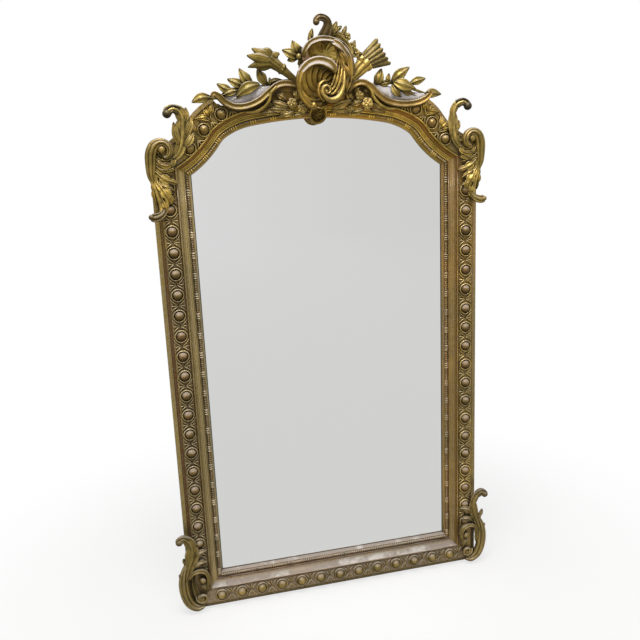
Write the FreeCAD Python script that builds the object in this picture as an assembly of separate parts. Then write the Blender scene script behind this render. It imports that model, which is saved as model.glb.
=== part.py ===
import FreeCAD, Part
import math
import os
from FreeCAD import Vector

# Rococo wall mirror in millimetres. +X is right, +Z is up, the front faces -Y and y = 0 is the wall.
# The origin is the middle of the bottom carcass rail's back face.
# Front-view places are (x, z) with z counted from the sill of the glass opening.
# The relief h counts forward from the front of the glass.

# Glass opening
SIGHT_WIDTH = 760.0
SHOULDER_RISE = 1241.0
CROWN_SLOPE = math.radians(10.0)
FLANK_SLOPE = math.radians(33.6)
HAUNCH_SLOPE = math.radians(55.0)
SHOULDER_SLOPE = math.radians(32.0)
FLANK_RADIUS = 197.0
HAUNCH_RADIUS = 57.0
COVE_RADIUS = 314.0

# Carcass, glass and back
CARCASS_DEPTH = 32.0
GLASS_REBATE = 14.0
GLASS_THICKNESS = 5.0
GLASS_CLEARANCE = 2.0
BOARD_REBATE = 12.0
BOARD_LEDGE_DEPTH = 12.0
BOARD_THICKNESS = 10.0
BOARD_CLEARANCE = 1.0
BOARD_COUNT = 3
TOP_LAP = 45.0
BLOCK_LENGTH = 40.0
BLOCK_WIDTH = 10.0
BLOCK_CLEARANCE = 1.0
STILE_BLOCKS = 4
BOTTOM_BLOCKS = 3

# Moulding section, from the glass edge outwards
LIP_BEVEL = 4.0
LIP_EDGE = 3.0
LIP_RISE = 13.0
BEAD_SEAT = 14.0
SIGHT_FILLET = 3.0
FILLET_RISE = 4.0
HOLLOW_WIDTH = 18.0
HOLLOW_RISE = 18.0
ASTRAGAL_WIDTH = 4.0
ASTRAGAL_RISE = 2.0
INNER_GROOVE = 3.0
INNER_GROOVE_DEPTH = 3.0
BED_WIDTH = 42.0
BED_DROP = 1.0
BED_RISE = 4.0
OUTER_GROOVE = 10.0
OUTER_GROOVE_HEIGHT = 17.0
OUTER_FILLET = 12.0
OUTER_FILLET_HEIGHT = 20.0

# Runs of ornament on the moulding
BEAD_MARGIN = 1.0
BEAD_HEIGHT = 5.0
EGG_RADIUS = 14.5
EGG_STRIP = 2.5
EGG_STRIP_MARGIN = 2.0
EGG_END = 20.0
STILE_EGG_PITCH = 60.2
BOTTOM_EGG_PITCH = 65.0
SHOULDER_EGG_START = 66.0
SHOULDER_EGG_CLEARANCE = 4.0
STILE_EGG_BOTTOM = 276.0
STILE_EGG_TOP = 188.0
BOTTOM_EGG_SIDE = 80.0

# Seats and screws
SEAT_GAP = 0.3
SCREW_RADIUS = 2.0
SCREW_HEAD_RADIUS = 4.0
SCREW_HEAD = 2.0
SCREW_LENGTH = 20.0
SCREW_CLEARANCE = 0.1
STILE_SCREWS = 4
SCREW_EDGE = 120.0

# Corner ornament
VOLUTE_DEPTH = 14.0
VOLUTE_EYE = 10.5
LEAF_DEPTH = 7.0
BOTTOM_SCROLL_DEPTH = 12.5
BOTTOM_VOLUTE_DEPTH = 9.0
BOTTOM_EYE = 10.0
CORNER_BOSS = 13.0

# Crest
BAR_DEPTH = 12.0
RIBBON_DEPTH = 5.0
ROSE_RADIUS = 16.0
ROSE_HEIGHT = 11.2
SHELL_RADIUS = 70.0
SHELL_DEPTH = 40.0
SHELL_WALL = 8.0
SHELL_RISE = 86.0
SPIRAL_TUBE = 8.0
SPIRAL_END_TUBE = 5.0
SPIRAL_END_RADIUS = 12.0
SPIRAL_TURNS = 1.6
SPIRAL_START = math.radians(50.0)
SPIRAL_STEPS_PER_TURN = 12
HOOD_RADIUS = 56.0
HOOD_DEPTH = 34.0
HOOD_WALL = 7.0
HOOD_OFFSET = 6.0
HOOD_RISE = 64.0
HOOD_GAP = 2.0
HOOD_RIM_TUBE = 6.0
HOOD_RIM_END = math.radians(8.0)
HOOD_RIM_STEPS = 8
PENDANT_RADIUS = 24.0
PENDANT_HEIGHT = 20.0
PENDANT_OFFSET = -20.0
PENDANT_RISE = 2.0
PLUME_DEPTH = 9.0
TORCH_TAIL_RADIUS = 6.5
TORCH_CUP_RADIUS = 18.0
MOUTH_LIFT = 4.0
QUIVER_TAIL_RADIUS = 9.0
QUIVER_MOUTH_RADIUS = 21.0
FEATHER_DEPTH = 2.4
FEATHER_ROOT = 3.5
STEM_RADIUS = 4.0
STEM_START_SHARE = 32.1
STEM_END_SHARE = 73.7
STEM_SAG = 11.0
STEM_STEPS = 7
LAUREL_DEPTH = 3.0
BLOSSOM_RADIUS = 18.0
BLOSSOM_LIFT = 2.0
BLOSSOM_ROOT = 66.0
BLOSSOM_ROOT_DEPTH = 14.0
CORE_HALF_WIDTH = 46.0
CORE_RISE = 82.0
STRAP_WIDTH = 30.0
STRAP_THICKNESS = 3.0
STRAP_FIT = 0.2
STRAP_SCREW_EDGE = 22.0

# Hangers
HANGER_RISE = 1000.0
POCKET_DEPTH = 10.0
POCKET_HALF_WIDTH = 17.0
PLATE_HALF_WIDTH = 11.0
PLATE_THICKNESS = 2.0
PLATE_LENGTH = 50.0
POCKET_END = 4.0
KNUCKLE_RADIUS = 4.0
KNUCKLE_LENGTH = 12.0
RING_WIRE = 2.0
RING_RADIUS = 12.0
RING_LEG = 6.0
RING_BEND = 3.0
RING_FIT = 0.06
RING_GAP = 0.6
HANGER_SCREW_TOP = 28.0
HANGER_SCREW_PITCH = 14.0

# Millimetres to one step of the corner drawings and of the crest drawing
CORNER_UNIT = 1.0
CREST_UNIT = 1.0

# Centre line of the right C-bar. Each row has the distance along the sight edge from the crown in hundredths of
# half the sight width, then the distance out and the half-width in steps of the crest drawing.
# Between the two bends the rail is pierced above the bar.
BAR_ROWS = [(23.9, 88, 8), (29.5, 90, 9), (36.3, 83, 9.5), (41.1, 69, 9.5), (49.2, 56, 9.5), (58.9, 54, 9.5),
            (65, 70, 9), (67.9, 92, 8), (67.6, 106, 6.5), (65.5, 113, 5)]
PIERCED_ROWS = slice(2, 8)

# Derived sizes
SIGHT_HALF = SIGHT_WIDTH / 2
BEAD_OUT = LIP_BEVEL + BEAD_SEAT
HOLLOW_START = BEAD_OUT + SIGHT_FILLET
ASTRAGAL_START = HOLLOW_START + HOLLOW_WIDTH
ASTRAGAL_END = ASTRAGAL_START + ASTRAGAL_WIDTH
BED_START = ASTRAGAL_END + INNER_GROOVE
BED_END = BED_START + BED_WIDTH
GROOVE_END = BED_END + OUTER_GROOVE
FACE_WIDTH = GROOVE_END + OUTER_FILLET
FILLET_HEIGHT = LIP_RISE + FILLET_RISE
HOLLOW_TOP = FILLET_HEIGHT + HOLLOW_RISE
ASTRAGAL_TOP = HOLLOW_TOP + ASTRAGAL_RISE
BED_LOW = HOLLOW_TOP - BED_DROP
BED_HIGH = BED_LOW + BED_RISE
BED_TILT = math.atan2(BED_RISE, BED_WIDTH)
BED_MIDDLE = BED_START + BED_WIDTH / 2
SEAT = max(BED_HIGH, ASTRAGAL_TOP) + SEAT_GAP
BACK_INNER = GLASS_REBATE + BOARD_REBATE
OUTER_HALF = SIGHT_HALF + FACE_WIDTH
SILL = (BACK_INNER + FACE_WIDTH) / 2


def unit(slope):
    """Outward normal of the arch where its tangent falls at this slope."""
    return Vector(math.sin(slope), 0, math.cos(slope))


def arch_arcs():
    """Arcs of the right half of the arch from the crown: centre, radius (below zero where it is hollow), first and
    last slope."""
    steps = [(FLANK_RADIUS, CROWN_SLOPE, FLANK_SLOPE), (HAUNCH_RADIUS, FLANK_SLOPE, HAUNCH_SLOPE),
             (-COVE_RADIUS, HAUNCH_SLOPE, SHOULDER_SLOPE)]
    side = sum(r * (math.sin(b) - math.sin(a)) for r, a, b in steps)
    crown = (SIGHT_HALF - side) / math.sin(CROWN_SLOPE)
    steps.insert(0, (crown, 0.0, CROWN_SLOPE))
    drop = sum(r * (math.cos(a) - math.cos(b)) for r, a, b in steps)
    point = Vector(0, 0, SHOULDER_RISE + drop)
    arcs = []
    for radius, first, last in steps:
        centre = point - unit(first) * radius
        arcs.append((centre, radius, first, last))
        point = centre + unit(last) * radius
    return arcs


ARCS = arch_arcs()
CROWN_RISE = ARCS[0][0].z + ARCS[0][1]


def arc_point(arc, slope, out):
    """Point of one arch arc, moved out from the sight edge."""
    return arc[0] + unit(slope) * (arc[1] + out)


def on_arch(along, out, relief):
    """Place on the top rail: distance along the sight edge from the crown, distance out, relief."""
    left = along
    for arc in ARCS:
        turn = (arc[3] - arc[2]) * arc[1]
        if left <= turn or arc is ARCS[-1]:
            slope = arc[2] + left / arc[1]
            return front(arc_point(arc, slope, out), relief), slope
        left -= turn


def front(point, relief):
    """Model point from a front-view point and a relief above the glass."""
    return Vector(point.x, -(CARCASS_DEPTH + relief), point.z + SILL)


def shoulder_corner(out):
    """Mitred corner between arch and stile, moved out from the sight edge."""
    lift = math.cos(SHOULDER_SLOPE) - (1 - math.sin(SHOULDER_SLOPE)) * math.tan(SHOULDER_SLOPE)
    return Vector(SIGHT_HALF + out, 0, SHOULDER_RISE + out * lift)


def arch_edges(out):
    """Edges of the whole arch from left corner to right corner, moved out from the sight edge."""
    edges = []
    for arc in ARCS:
        middle = (arc[2] + arc[3]) / 2
        points = [front(arc_point(arc, slope, out), 0) for slope in (arc[2], middle, arc[3])]
        edges.append(Part.Arc(*points).toShape())
    corner = front(shoulder_corner(out), 0)
    if corner.distanceToPoint(edges[-1].Vertexes[-1].Point) > 0.01:
        edges.append(Part.makeLine(points[-1], corner))
    return [mirrored(edge) for edge in edges] + edges


def outline_block(out, back, depth):
    """Slab with the outline of the glass opening moved out, standing forward from the plane y = -back."""
    corner = front(shoulder_corner(out), 0)
    foot = front(Vector(SIGHT_HALF + out, 0, -out), 0)
    left_corner = Vector(-corner.x, corner.y, corner.z)
    left_foot = Vector(-foot.x, foot.y, foot.z)
    lines = [Part.makeLine(corner, foot), Part.makeLine(foot, left_foot), Part.makeLine(left_foot, left_corner)]
    wire = Part.Wire(Part.__sortEdges__(arch_edges(out) + lines))
    slab = Part.Face(wire).extrude(Vector(0, -depth, 0))
    slab.translate(Vector(0, CARCASS_DEPTH - back, 0))
    return slab


def mirrored(shape):
    """Left-hand copy of a right-hand piece."""
    return shape.mirror(Vector(0, 0, 0), Vector(1, 0, 0))


def box(x0, x1, y0, y1, z0, z1):
    """Box between two corners, with z counted from the sill."""
    return Part.makeBox(x1 - x0, y1 - y0, z1 - z0, Vector(x0, y0, z0 + SILL))


def front_prism(points):
    """Prism through the whole depth from a front-view polygon."""
    reach = CARCASS_DEPTH * 6
    corners = [Vector(x, reach, z + SILL) for x, z in points]
    return Part.Face(Part.makePolygon(corners + corners[:1])).extrude(Vector(0, -2 * reach, 0))


def save(name, *solids):
    """Write one node."""
    shape = solids[0] if len(solids) == 1 else Part.makeCompound(list(solids))
    shape.exportStep("parts/" + name + ".step")


def save_pair(name, *solids):
    """Write a right-hand node and its left-hand copy."""
    save(name + "_right", *solids)
    save(name + "_left", *[mirrored(solid) for solid in solids])


def moulding_wire(place):
    """Closed section of the moulding. place turns (out, relief) into a model point."""
    groove_floor = BED_LOW - INNER_GROOVE_DEPTH
    lip = [(0, 0), (0, LIP_EDGE), (LIP_BEVEL, LIP_RISE), (BEAD_OUT, LIP_RISE), (BEAD_OUT, FILLET_HEIGHT),
           (HOLLOW_START, FILLET_HEIGHT)]
    hollow = (HOLLOW_START + 0.7 * HOLLOW_WIDTH, FILLET_HEIGHT + 0.3 * HOLLOW_RISE)
    rest = [(ASTRAGAL_START, HOLLOW_TOP), (ASTRAGAL_START, ASTRAGAL_TOP), (ASTRAGAL_END, ASTRAGAL_TOP),
            (ASTRAGAL_END, groove_floor), (BED_START, groove_floor), (BED_START, BED_LOW), (BED_END, BED_HIGH),
            (BED_END, OUTER_GROOVE_HEIGHT), (GROOVE_END, OUTER_GROOVE_HEIGHT), (GROOVE_END, OUTER_FILLET_HEIGHT),
            (FACE_WIDTH, OUTER_FILLET_HEIGHT), (FACE_WIDTH, 0), (0, 0)]
    first = Part.makePolygon([place(*point) for point in lip])
    last = Part.makePolygon([place(*point) for point in rest])
    curve = Part.Arc(place(*lip[-1]), place(*hollow), place(*rest[0])).toShape()
    return Part.Wire(first.Edges + [curve] + last.Edges)


def bead_wire(place):
    """Closed half-round section of the sight strip on its seat."""
    inner = LIP_BEVEL + BEAD_MARGIN
    outer = BEAD_OUT - BEAD_MARGIN
    ends = [place(inner, LIP_RISE), place(outer, LIP_RISE)]
    crown = place((inner + outer) / 2, LIP_RISE + BEAD_HEIGHT)
    return Part.Wire([Part.Arc(ends[0], crown, ends[1]).toShape(), Part.makeLine(ends[1], ends[0])])


def mitre_line(overrun):
    """Shoulder mitre of the right corner, run past the sight edge and the outer edge."""
    lift = (shoulder_corner(FACE_WIDTH).z - SHOULDER_RISE) / FACE_WIDTH
    far = FACE_WIDTH + overrun
    return [(SIGHT_HALF - overrun, SHOULDER_RISE - overrun * lift), (SIGHT_HALF + far, SHOULDER_RISE + far * lift)]


def stile_run(section):
    """Right stile of a section, mitred at both ends."""
    over = FACE_WIDTH / 4
    far = FACE_WIDTH + over
    low = -2 * FACE_WIDTH
    wire = section(lambda out, relief: front(Vector(SIGHT_HALF + out, 0, low), relief))
    run = Part.Face(wire).extrude(Vector(0, 0, SHOULDER_RISE + 4 * FACE_WIDTH))
    inner, outer = mitre_line(over)
    return run.common(front_prism([(SIGHT_HALF - over, over), (SIGHT_HALF + far, -far), outer, inner])).Solids[0]


def bottom_run(section):
    """Bottom rail of a section, mitred at both ends."""
    over = FACE_WIDTH / 4
    near = SIGHT_HALF - over
    far = SIGHT_HALF + FACE_WIDTH + over
    wire = section(lambda out, relief: front(Vector(-far, 0, -out), relief))
    run = Part.Face(wire).extrude(Vector(2 * far, 0, 0))
    low = -FACE_WIDTH - over
    return run.common(front_prism([(-near, over), (-far, low), (far, low), (near, over)])).Solids[0]


def top_run(section):
    """Arched top rail of a section, swept along the arch and mitred at both ends."""
    over = FACE_WIDTH / 4
    reach = 1.5 * FACE_WIDTH
    edges = arch_edges(0)
    end = front(shoulder_corner(0), 0)
    tail = end + Vector(math.cos(SHOULDER_SLOPE), 0, -math.sin(SHOULDER_SLOPE)) * reach
    tails = [Part.makeLine(end, tail)]
    tails.append(mirrored(tails[0]))
    path = Part.Wire(Part.__sortEdges__(edges + tails))
    normal = Vector(-math.sin(SHOULDER_SLOPE), 0, math.cos(SHOULDER_SLOPE))
    start = Vector(-tail.x, tail.y, tail.z)
    wire = section(lambda out, relief: start + normal * out - Vector(0, relief, 0))
    sweep = Part.BRepOffsetAPI.MakePipeShell(path)
    sweep.setBiNormalMode(Vector(0, 1, 0))
    sweep.add(wire)
    sweep.build()
    sweep.makeSolid()
    inner, outer = mitre_line(over)
    right = [inner, outer, (outer[0], CROWN_RISE + reach)]
    region = [(-x, z) for x, z in reversed(right)] + right
    return sweep.shape().common(front_prism(region)).Solids[0]


def top_lengths(run):
    """Crown and right shoulder of the top rail, cut apart square to the arch where the crown ends."""
    over = FACE_WIDTH / 4
    inner, outer = [arc_point(ARCS[0], CROWN_SLOPE, out) for out in (-over, FACE_WIDTH + over)]
    far = OUTER_HALF + FACE_WIDTH
    low = SHOULDER_RISE - FACE_WIDTH
    side = front_prism([(inner.x, inner.z), (outer.x, outer.z), (far, outer.z), (far, low), (inner.x, low)])
    return run.cut([side, mirrored(side)]).Solids[0], run.common(side).Solids[0]


def piercing():
    """Opening through the right half of the top rail, from the middle of the C-bar out past the rail."""
    rows = BAR_ROWS[PIERCED_ROWS]
    beyond = FACE_WIDTH + OUTER_FILLET
    back = CARCASS_DEPTH
    first, last = [on_arch(crest_along(row[0]), beyond, -2 * back)[0] for row in (rows[0], rows[-1])]
    points = [first] + [at_arch(row[0], row[1], -2 * back) for row in rows] + [last]
    curve = Part.BSplineCurve()
    curve.interpolate(points)
    middle = (rows[0][0] + rows[-1][0]) / 2
    above = on_arch(crest_along(middle), 2 * beyond, -2 * back)[0]
    edges = [curve.toShape(), Part.makeLine(points[-1], above), Part.makeLine(above, points[0])]
    return Part.Face(Part.Wire(edges)).extrude(Vector(0, -6 * back, 0))


def carcass():
    """Half-lapped softwood carcass: right stile, bottom rail and top rail."""
    plate = outline_block(FACE_WIDTH, 0, CARCASS_DEPTH)
    plate = plate.cut(outline_block(GLASS_REBATE, 0, CARCASS_DEPTH))
    plate = plate.cut(outline_block(BACK_INNER, 0, BOARD_LEDGE_DEPTH))
    lap = -CARCASS_DEPTH / 2
    inner = SIGHT_HALF + GLASS_REBATE
    far = OUTER_HALF + FACE_WIDTH
    low = -2 * FACE_WIDTH
    high = CROWN_RISE + 2 * FACE_WIDTH
    lap_top = SHOULDER_RISE + TOP_LAP
    deep = -2 * CARCASS_DEPTH
    back = -deep
    bottom = plate.common(box(-far, far, deep, back, low, -GLASS_REBATE))
    top = plate.common(box(-far, far, deep, back, SHOULDER_RISE, high))
    for side in (1, -1):
        x0, x1 = sorted((side * inner, side * far))
        bottom = bottom.cut(box(x0, x1, lap, back, low, -GLASS_REBATE))
        top = top.cut(box(x0, x1, lap, back, SHOULDER_RISE, lap_top))
    stile = plate.common(box(inner, far, deep, back, low, lap_top))
    stile = stile.cut(box(inner, far, deep, lap, low, -GLASS_REBATE))
    stile = stile.cut(box(inner, far, deep, lap, SHOULDER_RISE, lap_top))
    return stile, bottom, top


def screw(x, z, y):
    """Screw driven forward from the back, with the top of its head at y."""
    into = Vector(0, -1, 0)
    head = Part.makeCylinder(SCREW_HEAD_RADIUS, SCREW_HEAD, Vector(x, y, z + SILL), into)
    shank = Part.makeCylinder(SCREW_RADIUS, SCREW_LENGTH, Vector(x, y, z + SILL), into)
    return head.fuse(shank).removeSplitter()


def screw_hole(x, z, y):
    """Counterbored clearance hole for the screw at the same place."""
    into = Vector(0, -1, 0)
    lead = SCREW_HEAD
    head = Part.makeCylinder(SCREW_HEAD_RADIUS + SCREW_CLEARANCE, SCREW_HEAD + lead, Vector(x, y + lead, z + SILL), into)
    shank = Part.makeCylinder(SCREW_RADIUS + SCREW_CLEARANCE, SCREW_LENGTH + SEAT_GAP, Vector(x, y, z + SILL), into)
    return head.fuse(shank)


def backboards():
    """Vertical boards in the back rebate."""
    sheet = outline_block(BACK_INNER - BOARD_CLEARANCE, BOARD_LEDGE_DEPTH - BOARD_THICKNESS, BOARD_THICKNESS)
    edge = SIGHT_HALF + BACK_INNER - BOARD_CLEARANCE
    width = 2 * edge / BOARD_COUNT
    gap = BOARD_CLEARANCE / 2
    boards = []
    for i in range(BOARD_COUNT):
        left = -edge + i * width
        slot = box(left + gap, left + width - gap, -CARCASS_DEPTH, CARCASS_DEPTH, -2 * FACE_WIDTH, 2 * CROWN_RISE)
        boards.append(sheet.common(slot).Solids[0])
    return boards, width


def glazing_blocks():
    """Blocks glued in the glass rebate behind the glass, along both stiles and the bottom rail."""
    y1 = -BOARD_LEDGE_DEPTH - BLOCK_CLEARANCE
    y0 = -CARCASS_DEPTH + GLASS_THICKNESS
    inner = GLASS_REBATE - BLOCK_WIDTH
    blocks = []
    for i in range(STILE_BLOCKS):
        z = SHOULDER_RISE * (i + 0.5) / STILE_BLOCKS - BLOCK_LENGTH / 2
        block = box(SIGHT_HALF + inner, SIGHT_HALF + GLASS_REBATE, y0, y1, z, z + BLOCK_LENGTH)
        blocks += [block, mirrored(block)]
    for i in range(BOTTOM_BLOCKS):
        x = SIGHT_WIDTH * ((i + 0.5) / BOTTOM_BLOCKS - 0.5) - BLOCK_LENGTH / 2
        blocks.append(box(x, x + BLOCK_LENGTH, y0, y1, -GLASS_REBATE, -inner))
    return blocks


def egg_strip(length, pitch):
    """Strip with a row of eggs in its own axes: x along the run, y out from the glass, z off the bed."""
    count = int((length - 2 * EGG_END) / pitch) + 1
    half = BED_WIDTH / 2 - EGG_STRIP_MARGIN
    span = (count - 1) * pitch
    strip = Part.makeBox(span + 2 * EGG_END, 2 * half, EGG_STRIP, Vector(-span / 2 - EGG_END, -half, 0))
    eggs = []
    for i in range(count):
        middle = Vector(i * pitch - span / 2, 0, EGG_STRIP / 2)
        eggs.append(Part.makeSphere(EGG_RADIUS, middle, Vector(0, 0, 1), 0, 90, 360))
    return strip.fuse(eggs)


def laid_on_bed(strip, point, out):
    """Strip laid on the tilted bed. out is the direction in the front view away from the glass."""
    forward = Vector(0, -1, 0)
    across = out * math.cos(BED_TILT) + forward * math.sin(BED_TILT)
    off = forward * math.cos(BED_TILT) - out * math.sin(BED_TILT)
    along = across.cross(off)
    turn = FreeCAD.Matrix(along.x, across.x, off.x, point.x, along.y, across.y, off.y, point.y,
                          along.z, across.z, off.z, point.z, 0, 0, 0, 1)
    strip.Placement = FreeCAD.Placement(turn)
    return strip


def stile_eggs():
    """Egg run on the right stile, between the corner ornaments."""
    low = STILE_EGG_BOTTOM - FACE_WIDTH
    high = shoulder_corner(FACE_WIDTH).z - STILE_EGG_TOP
    point = front(Vector(SIGHT_HALF + BED_MIDDLE, 0, (low + high) / 2), (BED_LOW + BED_HIGH) / 2)
    return laid_on_bed(egg_strip(high - low, STILE_EGG_PITCH), point, Vector(1, 0, 0))


def bottom_eggs():
    """Egg run on the bottom rail, between the corner ornaments."""
    point = front(Vector(0, 0, -BED_MIDDLE), (BED_LOW + BED_HIGH) / 2)
    length = 2 * (OUTER_HALF - BOTTOM_EGG_SIDE)
    return laid_on_bed(egg_strip(length, BOTTOM_EGG_PITCH), point, Vector(0, 0, -1))


def shoulder_place(distance, out, relief):
    """Place and slope on the top rail at a distance from the shoulder mitre."""
    left = distance - out * (1 - math.sin(SHOULDER_SLOPE)) / math.cos(SHOULDER_SLOPE)
    for arc in reversed(ARCS):
        reach = arc[1] + out
        length = (arc[3] - arc[2]) * reach
        if left <= length:
            break
        left -= length
    slope = arc[3] - left / reach
    return front(arc_point(arc, slope, out), relief), slope


def shoulder_eggs():
    """Single eggs on the right shoulder of the top rail, as far as the end curl of the C-bar."""
    level = (BED_LOW + BED_HIGH) / 2 + SEAT_GAP
    curl = [at_arch(share, out, level) for share, out, width in BAR_ROWS]
    widest = max(row[2] for row in BAR_ROWS) * CREST_UNIT
    clear = EGG_RADIUS + widest + SHOULDER_EGG_CLEARANCE
    eggs = []
    distance = SHOULDER_EGG_START
    point, slope = shoulder_place(distance, BED_MIDDLE, level)
    while min(point.distanceToPoint(place) for place in curl) > clear:
        off = Vector(0, -math.cos(BED_TILT), 0) - unit(slope) * math.sin(BED_TILT)
        eggs.append(Part.makeSphere(EGG_RADIUS, point, off, 0, 90, 360))
        distance += STILE_EGG_PITCH
        point, slope = shoulder_place(distance, BED_MIDDLE, level)
    return eggs


def section(point, tangent, width, depth, lens):
    """Closed section across a path: rounded for a bar, pointed at both edges for a leaf."""
    across = tangent.cross(Vector(0, -1, 0)).normalize() * width
    forward = across.cross(tangent).normalize() * depth
    if lens:
        corners = [(1, 0), (0, 1), (-1, 0), (0, -1)]
    else:
        corners = [(math.cos(i * math.pi / 4), math.sin(i * math.pi / 4)) for i in range(8)]
    ring = [point + across * i + forward * j for i, j in corners]
    ring.append(ring[0])
    return Part.Wire([Part.Arc(*ring[i:i + 3]).toShape() for i in range(0, len(corners), 2)])


def loft(stations, lens=False):
    """Solid through sections along a path. Each station is a point, a half-width and a half-depth."""
    points = [station[0] for station in stations]
    last = len(points) - 1
    wires = []
    for i, (point, width, depth) in enumerate(stations):
        tangent = (points[min(i + 1, last)] - points[max(i - 1, 0)]).normalize()
        wires.append(section(point, tangent, width, depth, lens))
    solid = Part.makeLoft(wires, True, False)
    return solid if solid.Volume > 0 else solid.reversed()


def bed_height(out):
    """Relief of the egg bed at a distance out from the sight edge."""
    return BED_LOW + (out - BED_START) * math.tan(BED_TILT)


def seated(rows, depth, place, unit_size, seat=SEAT):
    """Stations resting on a seat plane. place turns a row's two coordinates and a relief into a point."""
    widest = max(row[2] for row in rows)
    stations = []
    for first, second, width in rows:
        thick = depth * math.sqrt(width / widest)
        stations.append((place(first, second, seat + thick), width * unit_size, thick))
    return stations


def at_corner(corner):
    """Place function for rows counted from a corner of the frame, in steps of the corner drawings."""
    return lambda x, z, relief: front(corner + Vector(x, 0, z) * CORNER_UNIT, relief)


def crest_along(share):
    """Distance along the sight edge from the crown, from hundredths of half the sight width."""
    return share * SIGHT_HALF / 100


def at_arch(share, out, relief):
    """Place function for rows along the arch."""
    return on_arch(crest_along(share), out * CREST_UNIT, relief)[0]


def ball(point, radius):
    """Round boss on the bed of the stile, at a front-view point."""
    relief = bed_height(point.x - SIGHT_HALF) + (radius + SEAT_GAP) / math.cos(BED_TILT)
    return Part.makeSphere(radius, front(point, relief))


def top_corner():
    """Right top corner: volute with its eye, rising leaf, drop leaf."""
    corner = shoulder_corner(FACE_WIDTH)
    place = at_corner(corner)
    volute = [(-12, -70, 9), (-3, -45, 10), (-1, -18, 10), (-5, 5, 10), (-17, 23, 10), (-35, 31, 9), (-51, 24, 8),
              (-58, 10, 7), (-54, -4, 6), (-44, -10, 5)]
    rising = [(-75, 8, 6), (-83, 30, 11), (-89, 60, 13), (-94, 90, 11), (-88, 112, 9), (-73, 119, 8), (-60, 112, 7),
              (-57, 103, 5)]
    drop = [(-13, -76, 9), (-19, -92, 17), (-22, -118, 20), (-24, -140, 15), (-22, -158, 10), (-14, -170, 7),
            (-2, -174, 6), (6, -170, 5)]
    eye = ball(corner + Vector(-36, 0, 11) * CORNER_UNIT, VOLUTE_EYE)
    save_pair("top_volute", loft(seated(volute, VOLUTE_DEPTH, place, CORNER_UNIT)), eye)
    save_pair("top_leaf", loft(seated(rising, LEAF_DEPTH, place, CORNER_UNIT), lens=True))
    save_pair("drop_leaf", loft(seated(drop, LEAF_DEPTH, place, CORNER_UNIT), lens=True))


def bottom_corner():
    """Right bottom corner: outer C-scroll, rising leaf, inner volute with its ball and boss."""
    corner = Vector(OUTER_HALF, 0, -FACE_WIDTH)
    place = at_corner(corner)
    scroll = [(5, 160, 7), (14, 134, 9), (19, 98, 10), (19, 62, 10), (11, 38, 10), (-7, 22, 9.5), (-27, 17, 9),
              (-48, 27, 7)]
    rising = [(-12, 170, 8), (-20, 196, 14), (-22, 225, 14), (-16, 252, 11), (-2, 266, 8), (12, 262, 8), (18, 252, 6)]
    volute = [(-6, 130, 6), (-24, 142, 7), (-44, 143, 7.5), (-61, 131, 7.5), (-66, 112, 7), (-60, 92, 6), (-56, 72, 3)]
    eye = ball(corner + Vector(-45, 0, 110) * CORNER_UNIT, BOTTOM_EYE)
    boss = ball(corner + Vector(-40, 0, 48) * CORNER_UNIT, CORNER_BOSS)
    save_pair("bottom_scroll", loft(seated(scroll, BOTTOM_SCROLL_DEPTH, place, CORNER_UNIT)))
    save_pair("bottom_leaf", loft(seated(rising, LEAF_DEPTH, place, CORNER_UNIT), lens=True))
    save_pair("bottom_volute", loft(seated(volute, BOTTOM_VOLUTE_DEPTH, place, CORNER_UNIT)), eye, boss)


def sphere_through(radius, height):
    """Radius of the sphere whose cap has this rim radius and height."""
    return (radius ** 2 + height ** 2) / (2 * height)


def dome(point, relief, radius, height):
    """Round cap with its flat back at a relief."""
    sphere_radius = sphere_through(radius, height)
    sphere = Part.makeSphere(sphere_radius, front(point, relief + height - sphere_radius))
    base = -(CARCASS_DEPTH + relief)
    return sphere.common(box(-OUTER_HALF, OUTER_HALF, base - 2 * height, base, -FACE_WIDTH, 2 * CROWN_RISE))


def bowl(point, radius, depth, wall):
    """Round bowl open to the front, with the middle of its back on the seat plane."""
    sphere_radius = sphere_through(radius, depth)
    middle = front(point, SEAT + sphere_radius)
    shell = Part.makeSphere(sphere_radius, middle).cut(Part.makeSphere(sphere_radius - wall, middle))
    rim = -(CARCASS_DEPTH + SEAT + depth)
    return shell.common(box(-OUTER_HALF, OUTER_HALF, rim, rim + 2 * depth, -FACE_WIDTH, 2 * CROWN_RISE))


def crest_bars():
    """Right C-bar with its end curl, the ribbon below it and the rose."""
    ribbon = [(29.5, 72, 4), (33.7, 66, 5), (37.4, 56, 5), (41.6, 46, 5), (47.9, 38, 4.5), (54.2, 34, 3)]
    save_pair("crest_bar", loft(seated(BAR_ROWS, BAR_DEPTH, at_arch, CREST_UNIT)))
    ridge = ASTRAGAL_TOP + SEAT_GAP
    save_pair("crest_ribbon", loft(seated(ribbon, RIBBON_DEPTH, at_arch, CREST_UNIT, ridge)))
    point = at_arch(26.3, 48, 0) - Vector(0, 0, SILL)
    rose = dome(Vector(point.x, 0, point.z), ridge, ROSE_RADIUS, ROSE_HEIGHT)
    save("crest_roses", rose, mirrored(rose))


SHELL_MIDDLE = Vector(0, 0, CROWN_RISE + SHELL_RISE)
HOOD_MIDDLE = SHELL_MIDDLE + Vector(HOOD_OFFSET, 0, HOOD_RISE)
HOOD_RIM_RELIEF = SEAT + HOOD_DEPTH + SEAT_GAP + HOOD_RIM_TUBE


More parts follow.
